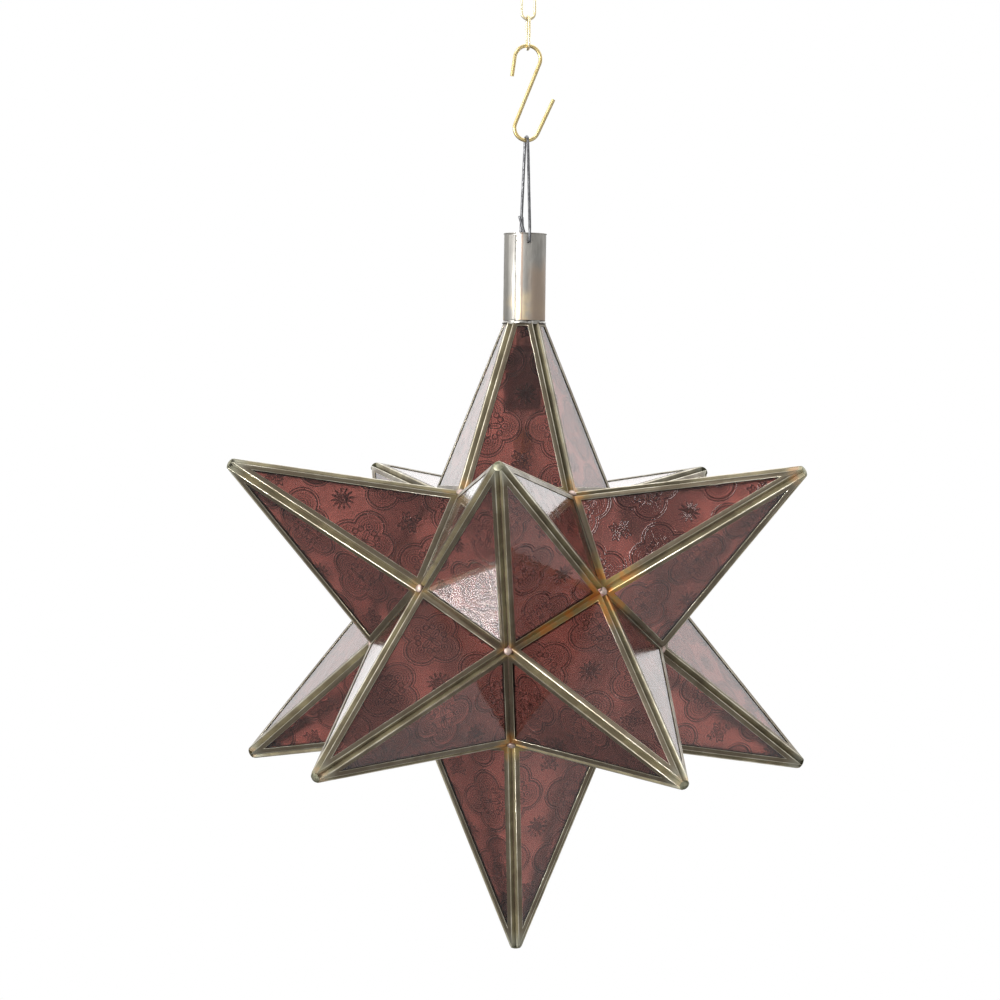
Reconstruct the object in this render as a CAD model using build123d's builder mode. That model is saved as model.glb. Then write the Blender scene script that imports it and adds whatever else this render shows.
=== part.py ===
from build123d import *
import os
from math import atan, atan2, cos, degrees, pi, radians, sin, sqrt, tan

os.makedirs("parts", exist_ok=True)

# Twelve-pointed star lantern of framed glass panes, hanging from two chain links.
# Millimetres. +Z is up. The origin is the point where the ceiling hook bears inside the top link.

# Gaps
play = 0.3  # between pieces that move on each other, each side
touch = 0.03  # between pieces that are soldered or pushed together
pin_gap = 0.05  # a pin in its knuckle or a nut on its pipe, on the radius
past = 1.0  # how far a cutting shape runs past what it cuts
same_place = 0.01  # two points this near are one point

# Star body
spike_reach = 240.0  # star centre to where a spike's outer faces would meet
valley_reach = 108.0  # star centre to each corner where three spikes meet
star_turn = -15.0  # the star is turned this far about Z from the hanger's plane

# U-shaped came round each pane, and the glass in it
came_depth = 4.2
came_flange = 3.5
came_wall = 0.5
glass_thickness = 3.0
glass_edge_gap = 0.25

# Solder
tip_bead_radius = 3.5
tip_bead_dome = 0.9
valley_bead_sink = 1.2  # bead's centre inside the corner
neck_bead_height = 3.0
neck_bead_lip = 0.5
neck_bead_reach = 4.0  # inside the collar's bore
neck_ridge_lap = 1.3  # the cut panes' ridges stand this far outside the collar

# Collar and its lap seam
collar_radius = 14.5
collar_wall = 0.6
collar_length = 59.8
rim_roll = 0.4
lap_angle = 24.0
lap_azimuth = -137.0
lap_wall = 0.5
hole_below_rim = 6.2

# Chain links
link_wire = 0.95
link_width = 11.1
link_length = 24.8

# S-hook
hook_wire = 1.3
hook_height = 65.2  # top bend to bottom bend, on the wire's centre
hook_top_bend = 9.0
hook_low_bend = 8.5
hook_top_tip = 13.5
hook_top_tip_lean = 7.6
hook_low_tip = 26.0
hook_low_tip_lean = 24.5

# Hanger wire
hanger_wire = 1.0
hanger_height = 73.0  # top bend to the collar holes, on the wire's centre
hanger_top_width = 9.2
hanger_top_bend = 5.0
hanger_foot_rise = 10.0
hanger_foot_bend = 1.5
hanger_shoulder_bend = 12.0
tail_inset = 7.0
tail_rise = 18.0
front_tail_lean = 5.6
back_tail_lean = 1.0

# Access door, one pane of a rear lower spike
door_gap = 0.35
hinge_lift = 2.0  # hinge axis above the valley line
knuckle_radius = 1.2
hinge_pin_radius = 0.6
leaf_width = 2.2
leaf_thickness = 0.5
knuckle_middle = 9.4
knuckle_outer = 9.0
stop_reach = 2.0
stop_length = 8.0
stop_thickness = 0.6
stop_along = 70.0
pull_wire = 0.6
pull_height = 6.0
pull_span = 6.0
pull_from_window = 2.6
pull_bend = 2.0

# Turn catch beside the door
catch_along = 96.0  # from the valley end of the ridge
catch_length = 12.0
catch_width = 4.0
catch_thickness = 0.8
rivet_radius = 0.9
rivet_head = 1.7
rivet_head_height = 0.6
rivet_head_taper = 20.0

# Lamp suspension
plate_thickness = 1.2
plate_lift = 3.0  # above the collar's lower end
plate_vent = 2.4
plate_vent_ring = 9.6
pipe_radius = 5.0
pipe_bore = 4.0
pipe_above_plate = 9.0
pipe_length = 36.0
nut_across = 13.0
nut_height = 2.2
grip_radius = 6.8
grip_height = 12.0
grip_bore = 3.5
grip_engagement = 5.0
grip_screw_radius = 1.5
grip_screw_length = 4.5
grip_chamfer = 1.0

# Lampholder
cap_radius = 12.6
cap_height = 13.0
cap_wall = 1.2
cap_shoulder = 5.0
cap_boss_wall = 2.2
thread_engagement = 5.0
body_radius = 13.2
body_length = 31.0
body_bore = 9.6
body_shelf = 4.0
body_chamfer = 0.8
core_radius = 11.0
core_height = 7.0
core_foot = 2.0
shell_radius = 7.8
shell_wall = 0.4
shell_length = 24.0
contact_radius = 2.0
contact_height = 1.6
terminal_radius = 1.6
terminal_height = 4.0
terminal_offset = 7.0

# Lamp
lamp_cap_radius = 6.9
lamp_cap_length = 20.0
lamp_cap_wall = 0.3
lamp_button_height = 2.4
lamp_button_radius = 4.6
lamp_pip_radius = 2.2
lamp_pip_height = 1.0
lamp_radius = 22.5
lamp_glass_wall = 0.8
lamp_globe_drop = 34.0  # from the cap's rim to the globe's centre
lamp_neck_in_cap = 6.0
lamp_neck_below_cap = 2.0
lamp_shoulder_turn = 48.0
lamp_stem_radius = 3.2
lamp_stem_length = 20.0
lamp_stem_flare = 2.0
lamp_stem_sink = 1.0  # below the neck's upper end
filament_radius = 0.9
filament_length = 24.0
filament_spread = 8.0
filament_count = 4
filament_base = 1.0

# ------------------------------------------------------------------ heights
top_link_top = link_wire
link_drop = link_length - 2 * link_wire
top_link_low = top_link_top - link_drop
low_link_top = top_link_low + 2 * link_wire + play
low_link_low = low_link_top - link_drop
hook_top = low_link_low + link_wire + hook_wire + play
hook_low = hook_top - hook_height
hanger_top = hook_low + hook_wire + hanger_wire + play
hole_height = hanger_top - hanger_height
rim_height = hole_height + hole_below_rim
collar_foot = rim_height - collar_length

# ------------------------------------------------------------------ star geometry
golden = (1 + sqrt(5)) / 2
valley_edge = 2 * valley_reach / (sqrt(3) * golden)
valley_middle = valley_edge * golden**2 / 2
base_distance = valley_edge * golden**2 / (2 * sqrt(3 - golden))
base_apothem = sqrt(valley_middle**2 - base_distance**2)
pane_height = sqrt(base_apothem**2 + (spike_reach - base_distance) ** 2)
pane_half = valley_edge / 2
face_lean = atan(base_apothem / (spike_reach - base_distance))
point_half_angle = atan(pane_half / pane_height)
ridge_turn = cos(face_lean) ** 2 * cos(radians(72)) + sin(face_lean) ** 2
ridge_half_angle = pi / 2 - atan2(sqrt(1 - ridge_turn**2), ridge_turn) / 2
ridge_setback = came_depth / tan(ridge_half_angle) + touch

# The neck's panes stop where the collar stands: the cut lies across the pane.
neck_ridge_radius = collar_radius + neck_ridge_lap
neck_cut = pane_height * (1 - neck_ridge_radius * cos(radians(36)) / base_apothem)
neck_drop = spike_reach - (spike_reach - base_distance) * (1 - neck_cut / pane_height)
star_height = collar_foot - neck_bead_lip - neck_drop
star_centre = Vector(0, 0, star_height)


def direction(azimuth, elevation):
    flat = cos(elevation)
    return Vector(flat * cos(radians(azimuth)), flat * sin(radians(azimuth)), sin(elevation))


ring_elevation = atan(0.5)
spikes = {"top_spike": Vector(0, 0, 1), "bottom_spike": Vector(0, 0, -1)}
for step in range(5):
    spikes[f"upper_spike_{step + 1}"] = direction(star_turn - 90 + 72 * step, ring_elevation)
    spikes[f"lower_spike_{step + 1}"] = direction(star_turn - 126 + 72 * step, -ring_elevation)


def neighbours(spike):
    near = [other for other in spikes.values() if other is not spike and spike.dot(other) > 0]
    side = (near[0] - spike * near[0].dot(spike)).normalized()
    across = spike.cross(side)
    return sorted(near, key=lambda other: atan2(other.dot(across), other.dot(side)))


def pane_plane(spike, other):
    # Origin in the middle of the valley edge, X along it, Y up the pane, Z out of the lantern.
    along = spike.cross(other).normalized()
    middle = (spike + other).normalized() * valley_middle
    up_pane = (spike * spike_reach - middle).normalized()
    return Plane(origin=star_centre + middle, x_dir=along, z_dir=along.cross(up_pane))


def pane_outline(ridge_gap, base_gap, cut=None, cut_gap=0.0):
    def half_at(height):
        return pane_half * (1 - height / pane_height) - ridge_gap / cos(point_half_angle)

    foot = half_at(base_gap)
    if cut is None:
        point = pane_height - ridge_gap / sin(point_half_angle)
        return [(-foot, base_gap), (foot, base_gap), (0, point)]
    head = half_at(cut - cut_gap)
    return [(-foot, base_gap), (foot, base_gap), (head, cut - cut_gap), (-head, cut - cut_gap)]


def slab(ridge_gap, base_gap, top, bottom, cut=None, cut_gap=0.0):
    with BuildPart() as plate:
        with BuildSketch(Plane.XY.offset(bottom)):
            with BuildLine():
                Polyline(*pane_outline(ridge_gap, base_gap, cut, cut_gap), close=True)
            make_face()
        extrude(amount=top - bottom)
    return plate.part


def came_frame(ridge_gap, base_gap, cut=None):
    blank = slab(ridge_gap, base_gap, 0, -came_depth, cut)
    lip = came_flange
    window = slab(ridge_gap + lip, base_gap + lip, came_wall, -came_depth - came_wall, cut, lip)
    wall = came_wall
    slot = slab(ridge_gap + wall, base_gap + wall, -wall, wall - came_depth, cut, wall)
    with BuildPart() as frame:
        add(blank)
        add(window, mode=Mode.SUBTRACT)
        add(slot, mode=Mode.SUBTRACT)
    return frame.part


def pane_glass(ridge_gap, base_gap, cut=None):
    edge = came_wall + glass_edge_gap
    face = (came_depth - glass_thickness) / 2
    return slab(ridge_gap + edge, base_gap + edge, -face, -face - glass_thickness, cut, edge)


def group(label, piece, places):
    with BuildPart() as pieces:
        with Locations(*[place.location for place in places]):
            add(piece)
    finish(label, pieces.part)


def finish(label, part):
    part.label = label
    export_step(part, f"parts/{label}.step")


# ------------------------------------------------------------------ panes and cames
frame_piece = came_frame(ridge_setback, touch)
glass_piece = pane_glass(ridge_setback, touch)
neck_frame_piece = came_frame(ridge_setback, touch, neck_cut)
neck_glass_piece = pane_glass(ridge_setback, touch, neck_cut)

door_spike = spikes["lower_spike_4"]
door_other = spikes["upper_spike_4"]
door_plane = pane_plane(door_spike, door_other)
facing_plane = pane_plane(door_other, door_spike)

for label, spike in spikes.items():
    places = [pane_plane(spike, other) for other in neighbours(spike)]
    if label == "top_spike":
        group(f"{label}_came", neck_frame_piece, places)
        group(f"{label}_glass", neck_glass_piece, places)
        continue
    if spike is door_spike:
        places = [place for place in places if (place.origin - door_plane.origin).length > same_place]
    group(f"{label}_came", frame_piece, places)
    group(f"{label}_glass", glass_piece, places)

# ------------------------------------------------------------------ door
door_ridge = ridge_setback + door_gap
door_frame_piece = came_frame(door_ridge, door_gap)
door_glass_piece = pane_glass(door_ridge, door_gap)
with BuildPart() as door_came:
    with Locations(door_plane.location):
        add(door_frame_piece)
door_came.part.label = "door_came"
export_step(door_came.part, "parts/door_came.step")

with BuildPart() as door_glass:
    with Locations(door_plane.location):
        add(door_glass_piece)
door_glass.part.label = "door_glass"
export_step(door_glass.part, "parts/door_glass.step")

# The hinge axis stands over the valley line, as far from either pane's face.
bisector = (door_spike + door_other).normalized()
axis_up_pane = hinge_lift * bisector.dot(door_plane.y_dir)
axis_out = hinge_lift * bisector.dot(door_plane.z_dir)


def hinge_leaf(start, length):
    with BuildPart() as leaf:
        with BuildSketch(Plane.YZ.offset(start)):
            with Locations((axis_up_pane, axis_out)):
                Circle(knuckle_radius)
            with Locations((axis_up_pane, 0)):
                Rectangle(leaf_width, leaf_thickness, align=(Align.MIN, Align.MIN))
                Rectangle(knuckle_radius, axis_out, align=(Align.MIN, Align.MIN))
            with Locations((axis_up_pane, axis_out)):
                Circle(hinge_pin_radius + pin_gap, mode=Mode.SUBTRACT)
        extrude(amount=length)
    return leaf.part


knuckle_start = knuckle_middle / 2 + play
hinge_half = knuckle_start + knuckle_outer
right_leaf = hinge_leaf(knuckle_start, knuckle_outer)
left_leaf = hinge_leaf(-hinge_half, knuckle_outer)
middle_leaf = hinge_leaf(-knuckle_middle / 2, knuckle_middle)
with BuildPart() as hinge_leaves:
    with Locations(facing_plane.location):
        add(right_leaf)
        add(left_leaf)
hinge_leaves.part.label = "hinge_fixed_leaves"
export_step(hinge_leaves.part, "parts/hinge_fixed_leaves.step")

with BuildPart() as door_leaf:
    with Locations(door_plane.location):
        add(middle_leaf)
door_leaf.part.label = "hinge_door_leaf"
export_step(door_leaf.part, "parts/hinge_door_leaf.step")

pin_plane = Plane(
    origin=door_plane.from_local_coords((0, axis_up_pane, axis_out)),
    x_dir=door_plane.z_dir,
    z_dir=door_plane.x_dir,
)
with BuildPart() as hinge_pin:
    with BuildSketch(pin_plane.offset(-hinge_half)):
        Circle(hinge_pin_radius)
    extrude(amount=2 * hinge_half)
hinge_pin.part.label = "hinge_pin"
export_step(hinge_pin.part, "parts/hinge_pin.step")

# Pull: a wire staple that stands on the came near the door's point
pull_foot = pane_height - (door_ridge + came_flange) / sin(point_half_angle) + pull_from_window
with BuildPart() as door_pull:
    with BuildLine(door_plane) as pull_path:
        FilletPolyline(
            (0, pull_foot, 0),
            (0, pull_foot, pull_height),
            (0, pull_foot + pull_span, pull_height),
            (0, pull_foot + pull_span, 0),
            radius=pull_bend,
        )
    with BuildSketch(Plane(origin=pull_path.line @ 0, z_dir=pull_path.line % 0)):
        Circle(pull_wire)
    sweep()
door_pull.part.label = "door_pull"
export_step(door_pull.part, "parts/door_pull.step")


def ridge_frame(plane, side):
    # Along the ridge from the valley corner, Y towards the pane's middle, Z out of the lantern.
    corner = plane.from_local_coords((side * pane_half, 0, 0))
    point = plane.from_local_coords((0, pane_height, 0))
    along = (point - corner).normalized()
    if side > 0:
        return Plane(origin=corner, x_dir=along, z_dir=plane.z_dir)
    return Plane(origin=corner, x_dir=along, z_dir=plane.z_dir * -1)


# Stops: tabs under the door's edges, soldered to the cames beside it
stop_top = came_depth + play
stop_edge = ridge_setback - play * tan(2 * ridge_half_angle - pi / 2)
with BuildPart() as door_stops:
    for side in (-1, 1):
        lane = ridge_frame(door_plane, side)
        inward = -1 if side > 0 else 1
        with BuildSketch(lane.offset(stop_top * inward)):
            with Locations((stop_along, stop_edge)):
                Rectangle(stop_length, stop_reach + door_gap, align=(Align.CENTER, Align.MIN))
        extrude(amount=stop_thickness * inward)
door_stops.part.label = "door_stops"
export_step(door_stops.part, "parts/door_stops.step")

# Turn catch on the came beside the door; it lies along the ridge until it is turned over the door
ring_of_others = neighbours(door_spike)
door_index = [(other - door_other).length < same_place for other in ring_of_others].index(True)
catch_plane = pane_plane(door_spike, ring_of_others[(door_index + 1) % 5])
shared = door_spike + door_other + ring_of_others[(door_index + 1) % 5]
shared_corner = star_centre + shared.normalized() * valley_reach
catch_side = 1 if (catch_plane.from_local_coords((pane_half, 0, 0)) - shared_corner).length < same_place else -1
catch_lane = ridge_frame(catch_plane, catch_side)
catch_out = catch_plane.z_dir
catch_pivot = catch_lane.from_local_coords((catch_along, ridge_setback + came_flange / 2, 0))
catch_top = Plane(origin=catch_pivot, x_dir=catch_lane.x_dir, z_dir=catch_out)
with BuildPart() as catch_rivet:
    with BuildSketch(catch_top):
        Circle(rivet_radius)
    extrude(amount=2 * play + catch_thickness)
    with BuildSketch(catch_top.offset(2 * play + catch_thickness)):
        Circle(rivet_head)
    extrude(amount=rivet_head_height, taper=rivet_head_taper)
catch_rivet.part.label = "catch_rivet"
export_step(catch_rivet.part, "parts/catch_rivet.step")

with BuildPart() as catch_tab:
    with BuildSketch(catch_top.offset(play)):
        with Locations((catch_length / 2 - catch_width / 2, 0)):
            SlotOverall(catch_length, catch_width)
        Circle(rivet_radius + pin_gap, mode=Mode.SUBTRACT)
    extrude(amount=catch_thickness)
catch_tab.part.label = "catch_tab"
export_step(catch_tab.part, "parts/catch_tab.step")

# ------------------------------------------------------------------ solder
# At a blunt point the five cames' corners form a shallow funnel; the solder fills its middle.
point_span = ridge_setback / sin(point_half_angle) / pane_height
point_off_axis = base_apothem * point_span
point_reach = spike_reach - (spike_reach - base_distance) * point_span
funnel_low = point_reach - point_off_axis * tan(face_lean) + touch
funnel_rise = tip_bead_radius * tan(face_lean)
dome_radius = (tip_bead_radius**2 + tip_bead_dome**2) / (2 * tip_bead_dome)
dome_quarter = atan2(tip_bead_radius, dome_radius - tip_bead_dome) / 2
with BuildPart() as tip_bead:
    with BuildSketch(Plane.XZ):
        with BuildLine():
            rim = (tip_bead_radius, funnel_low + funnel_rise)
            dome_top = funnel_low + funnel_rise + tip_bead_dome
            dome_drop = dome_radius * (1 - cos(dome_quarter))
            dome_middle = (dome_radius * sin(dome_quarter), dome_top - dome_drop)
            top = (0, dome_top)
            Polyline(top, (0, funnel_low), rim)
            ThreePointArc(rim, dome_middle, top)
        make_face()
    revolve(axis=Axis.Z)

with BuildPart() as tip_solder:
    for label, spike in spikes.items():
        if label != "top_spike":
            with Locations(Plane(origin=star_centre, z_dir=spike).location):
                add(tip_bead.part)
tip_solder.part.label = "tip_solder"
export_step(tip_solder.part, "parts/tip_solder.step")

# Three spikes meet at each corner; the two corners at the door's hinge stay free of solder.
corner_ways = {}
for first in spikes.values():
    ring = neighbours(first)
    for step, second in enumerate(ring):
        trio = (first, second, ring[(step + 1) % 5])
        if door_spike in trio and door_other in trio:
            continue
        way = (trio[0] + trio[1] + trio[2]).normalized()
        corner_ways[(round(way.X, 4), round(way.Y, 4), round(way.Z, 4))] = way

# A corner bead is as large as fits between the cames round it.
some_spike = spikes["bottom_spike"]
some_ring = neighbours(some_spike)
some_way = (some_spike + some_ring[0] + some_ring[1]).normalized()
bead_centre = valley_reach - valley_bead_sink
bead_vertex = Vertex(*(star_centre + some_way * bead_centre))
bead_frame = pane_plane(some_spike, some_ring[0]).location * frame_piece
valley_bead_radius = bead_frame.distance_to(bead_vertex) - touch
with BuildPart() as valley_solder:
    with Locations(*[star_centre + way * bead_centre for way in corner_ways.values()]):
        Sphere(valley_bead_radius)
valley_solder.part.label = "valley_solder"
export_step(valley_solder.part, "parts/valley_solder.step")

# ------------------------------------------------------------------ collar
collar_bore = collar_radius - collar_wall
hole_radius = hanger_wire + play
with BuildPart() as collar:
    with BuildSketch(Plane.XZ):
        with BuildLine():
            Polyline(
                (collar_bore, collar_foot),
                (collar_radius, collar_foot),
                (collar_radius, rim_height - 2 * rim_roll),
                (collar_radius + rim_roll, rim_height - rim_roll),
                (collar_radius + rim_roll, rim_height),
                (collar_bore, rim_height),
                close=True,
            )
        make_face()
    revolve(axis=Axis.Z)
    with BuildSketch(Plane.XZ):
        with Locations((0, hole_height)):
            Circle(hole_radius)
    extrude(amount=2 * collar_radius, both=True, mode=Mode.SUBTRACT)
collar.part.label = "collar"
export_step(collar.part, "parts/collar.step")

with BuildPart() as collar_lap:
    lap_seat = collar_radius + touch
    with BuildSketch(Plane.XZ.rotated((0, 0, lap_azimuth - lap_angle / 2))):
        with Locations((lap_seat, collar_foot)):
            Rectangle(lap_wall, collar_length - 4 * rim_roll, align=(Align.MIN, Align.MIN))
    revolve(axis=Axis.Z, revolution_arc=lap_angle)
collar_lap.part.label = "collar_lap"
export_step(collar_lap.part, "parts/collar_lap.step")

neck_blank = slab(ridge_setback - touch, 0, touch, -2 * came_depth, neck_cut)
top_planes = [pane_plane(spikes["top_spike"], other) for other in neighbours(spikes["top_spike"])]
with BuildPart() as neck_solder:
    neck_bead_width = neck_bead_reach + collar_wall + neck_bead_lip
    with BuildSketch(Plane.XZ):
        with Locations((collar_bore - neck_bead_reach, collar_foot - neck_bead_height)):
            Rectangle(neck_bead_width, neck_bead_height, align=(Align.MIN, Align.MIN))
    revolve(axis=Axis.Z)
    with Locations(*[plane.location for plane in top_planes]):
        add(neck_blank, mode=Mode.SUBTRACT)
neck_solder.part.label = "neck_solder"
export_step(neck_solder.part, "parts/neck_solder.step")

# ------------------------------------------------------------------ hanging wires
link_half = link_width / 2 - link_wire


def chain_link(label, top, plane):
    straight = link_drop - 2 * link_half
    with BuildPart() as link:
        with BuildLine(plane) as loop:
            upper = Line((link_half, top - link_half), (link_half, top - link_half - straight))
            low = JernArc(start=upper @ 1, tangent=upper % 1, radius=link_half, arc_size=-180)
            back = Line(low @ 1, (-link_half, top - link_half))
            JernArc(start=back @ 1, tangent=back % 1, radius=link_half, arc_size=-180)
        with BuildSketch(Plane(origin=upper @ 0, z_dir=upper % 0)):
            Circle(link_wire)
        sweep(path=loop.line)
    finish(label, link.part)


chain_link("upper_chain_link", top_link_top, Plane.XZ)
chain_link("lower_chain_link", low_link_top, Plane.YZ)

# The S-hook's two bends lie on the plumb line, joined by the straight that touches both.
hook_top_centre = hook_top - hook_top_bend
hook_low_centre = hook_low + hook_low_bend
cross_sine = (hook_top_bend + hook_low_bend) / (hook_top_centre - hook_low_centre)
cross_angle = degrees(atan2(cross_sine, sqrt(1 - cross_sine**2)))
with BuildPart() as s_hook:
    with BuildLine(Plane.XZ) as hook_path:
        lean = radians(hook_top_tip_lean)
        bend_x = -hook_top_bend * cos(lean)
        bend_z = hook_top_centre + hook_top_bend * sin(lean)
        tip_x = bend_x - hook_top_tip * sin(lean)
        tip_z = bend_z - hook_top_tip * cos(lean)
        tip_limb = Line((tip_x, tip_z), (bend_x, bend_z))
        top_bend = JernArc(
            start=tip_limb @ 1,
            tangent=tip_limb % 1,
            radius=hook_top_bend,
            arc_size=-(180 - hook_top_tip_lean + cross_angle),
        )
        shank_length = sqrt((hook_top_centre - hook_low_centre) ** 2 - (hook_top_bend + hook_low_bend) ** 2)
        shank_end = (top_bend @ 1) + (top_bend % 1) * shank_length
        shank = Line(top_bend @ 1, shank_end)
        low_bend = JernArc(
            start=shank @ 1,
            tangent=shank % 1,
            radius=hook_low_bend,
            arc_size=180 + cross_angle - hook_low_tip_lean,
        )
        Line(low_bend @ 1, (low_bend @ 1) + (low_bend % 1) * hook_low_tip)
    with BuildSketch(Plane(origin=hook_path.line @ 0, z_dir=hook_path.line % 0)):
        Circle(hook_wire)
    sweep(path=hook_path.line)
s_hook.part.label = "s_hook"
export_step(s_hook.part, "parts/s_hook.step")

# The hanger's feet pass through the collar holes and turn up inside.
hanger_out = collar_radius + rim_roll + play + hanger_wire
shoulder = hole_height + hanger_foot_rise
with BuildPart() as hanger:
    with BuildLine() as hanger_path:
        FilletPolyline(
            (-front_tail_lean, -tail_inset, hole_height + tail_rise),
            (0, -tail_inset, hole_height),
            (0, -hanger_out, hole_height),
            (0, -hanger_out, shoulder),
            (0, -hanger_top_width / 2, hanger_top),
            (0, hanger_top_width / 2, hanger_top),
            (0, hanger_out, shoulder),
            (0, hanger_out, hole_height),
            (0, tail_inset, hole_height),
            (-back_tail_lean, tail_inset, hole_height + tail_rise),
            radius=[
                hanger_foot_bend,
                hanger_foot_bend,
                hanger_shoulder_bend,
                hanger_top_bend,
                hanger_top_bend,
                hanger_shoulder_bend,
                hanger_foot_bend,
                hanger_foot_bend,
            ],
        )
    with BuildSketch(Plane(origin=hanger_path.line @ 0, z_dir=hanger_path.line % 0)):
        Circle(hanger_wire)
    sweep(path=hanger_path.line)
hanger.part.label = "hanger"
export_step(hanger.part, "parts/hanger.step")

# ------------------------------------------------------------------ lamp suspension
plate_low = collar_foot + plate_lift
plate_top = plate_low + plate_thickness
pipe_top = plate_top + pipe_above_plate
pipe_low = pipe_top - pipe_length
with BuildPart() as cross_plate:
    with BuildSketch(Plane.XY.offset(plate_low)):
        Circle(collar_bore - touch)
        Circle(pipe_radius + pin_gap, mode=Mode.SUBTRACT)
        with PolarLocations(plate_vent_ring, 3):
            Circle(plate_vent, mode=Mode.SUBTRACT)
    extrude(amount=plate_thickness)
cross_plate.part.label = "cross_plate"
export_step(cross_plate.part, "parts/cross_plate.step")

with BuildPart() as lamp_pipe:
    with BuildSketch(Plane.XY.offset(pipe_low)):
        Circle(pipe_radius)
        Circle(pipe_bore, mode=Mode.SUBTRACT)
    extrude(amount=pipe_length)
lamp_pipe.part.label = "lamp_pipe"
export_step(lamp_pipe.part, "parts/lamp_pipe.step")

with BuildPart() as pipe_nuts:
    for nut_low in (plate_top, plate_low - nut_height):
        with BuildSketch(Plane.XY.offset(nut_low)):
            RegularPolygon(nut_across / 2, 6, major_radius=False)
            Circle(pipe_radius + pin_gap, mode=Mode.SUBTRACT)
        extrude(amount=nut_height)
pipe_nuts.part.label = "pipe_nuts"
export_step(pipe_nuts.part, "parts/pipe_nuts.step")

grip_low = pipe_top - grip_engagement
grip_top = grip_low + grip_height
screw_height = (pipe_top + grip_top) / 2
with BuildPart() as cord_grip:
    with BuildSketch(Plane.XY.offset(grip_low)):
        Circle(grip_radius)
    extrude(amount=grip_height)
    chamfer(cord_grip.edges().group_by(Axis.Z)[-1], length=grip_chamfer)
    with Locations((0, 0, grip_top)):
        Hole(grip_bore, depth=grip_height)
    with Locations((0, 0, grip_low)):
        Cylinder(pipe_radius + pin_gap, 2 * grip_engagement, mode=Mode.SUBTRACT)
    with Locations(Plane.YZ.offset(grip_bore).location):
        with Locations((0, screw_height)):
            Cylinder(
                grip_screw_radius + pin_gap,
                grip_radius,
                align=(Align.CENTER, Align.CENTER, Align.MIN),
                mode=Mode.SUBTRACT,
            )
cord_grip.part.label = "cord_grip"
export_step(cord_grip.part, "parts/cord_grip.step")

with BuildPart() as grip_screw:
    with BuildSketch(Plane.YZ.offset(grip_bore + play)):
        with Locations((0, screw_height)):
            Circle(grip_screw_radius)
    extrude(amount=grip_screw_length)
    with BuildSketch(Plane.YZ.offset(grip_bore + play + grip_screw_length)):
        with Locations((0, screw_height)):
            Rectangle(3 * grip_screw_radius, grip_screw_radius / 2)
    extrude(amount=-grip_screw_radius / 2, mode=Mode.SUBTRACT)
grip_screw.part.label = "grip_screw"
export_step(grip_screw.part, "parts/grip_screw.step")

# ------------------------------------------------------------------ lampholder
cap_top = pipe_low + thread_engagement
cap_low = cap_top - cap_height
body_top = cap_low
body_low = body_top - body_length
with BuildPart() as holder_cap:
    with BuildSketch(Plane.XZ):
        with BuildLine():
            Polyline(
                (pipe_radius + pin_gap, cap_top),
                (pipe_radius + cap_boss_wall, cap_top),
                (pipe_radius + cap_boss_wall, cap_top - thread_engagement + cap_wall),
                (cap_radius - cap_shoulder, cap_top - thread_engagement + cap_wall),
                (cap_radius, cap_low + cap_shoulder),
                (cap_radius, cap_low),
                (cap_radius - cap_wall, cap_low),
                (cap_radius - cap_wall, cap_low + cap_shoulder - cap_wall / 2),
                (cap_radius - cap_shoulder - cap_wall / 2, cap_top - thread_engagement),
                (pipe_radius + pin_gap, cap_top - thread_engagement),
                close=True,
            )
        make_face()
    revolve(axis=Axis.Z)
holder_cap.part.label = "holder_cap"
export_step(holder_cap.part, "parts/holder_cap.step")

with BuildPart() as holder_body:
    with BuildSketch(Plane.XY.offset(body_low)):
        Circle(body_radius)
    extrude(amount=body_length)
    chamfer(holder_body.edges().group_by(Axis.Z)[0], length=body_chamfer)
    with Locations((0, 0, body_top)):
        Hole(body_bore, depth=body_length + past)
    with BuildSketch(Plane.XY.offset(body_top - body_shelf)):
        Circle(core_radius + pin_gap)
    extrude(amount=body_shelf, mode=Mode.SUBTRACT)
holder_body.part.label = "holder_body"
export_step(holder_body.part, "parts/holder_body.step")

core_low = body_top - body_shelf
with BuildPart() as holder_core:
    with BuildSketch(Plane.XY.offset(core_low)):
        Circle(core_radius)
    extrude(amount=body_shelf)
    with BuildSketch(Plane.XY.offset(core_low + body_shelf)):
        Circle(core_radius - cap_wall)
    extrude(amount=core_foot)
    with BuildSketch(Plane.XY.offset(core_low)):
        Circle(contact_radius + pin_gap)
        with Locations((-terminal_offset, 0), (terminal_offset, 0)):
            Circle(terminal_radius + pin_gap)
    extrude(amount=core_height, mode=Mode.SUBTRACT)
holder_core.part.label = "holder_core"
export_step(holder_core.part, "parts/holder_core.step")

with BuildPart() as screw_shell:
    with BuildSketch(Plane.XY.offset(core_low - shell_length)):
        Circle(shell_radius)
        Circle(shell_radius - shell_wall, mode=Mode.SUBTRACT)
    extrude(amount=shell_length)
screw_shell.part.label = "screw_shell"
export_step(screw_shell.part, "parts/screw_shell.step")

with BuildPart() as centre_contact:
    with BuildSketch(Plane.XY.offset(core_low - contact_height)):
        Circle(contact_radius)
    extrude(amount=contact_height + body_shelf + core_foot)
centre_contact.part.label = "centre_contact"
export_step(centre_contact.part, "parts/centre_contact.step")

with BuildPart() as terminal_screws:
    with BuildSketch(Plane.XY.offset(core_low + body_shelf + core_foot - terminal_height)):
        with Locations((-terminal_offset, 0), (terminal_offset, 0)):
            Circle(terminal_radius)
    extrude(amount=terminal_height)
terminal_screws.part.label = "terminal_screws"
export_step(terminal_screws.part, "parts/terminal_screws.step")

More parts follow.
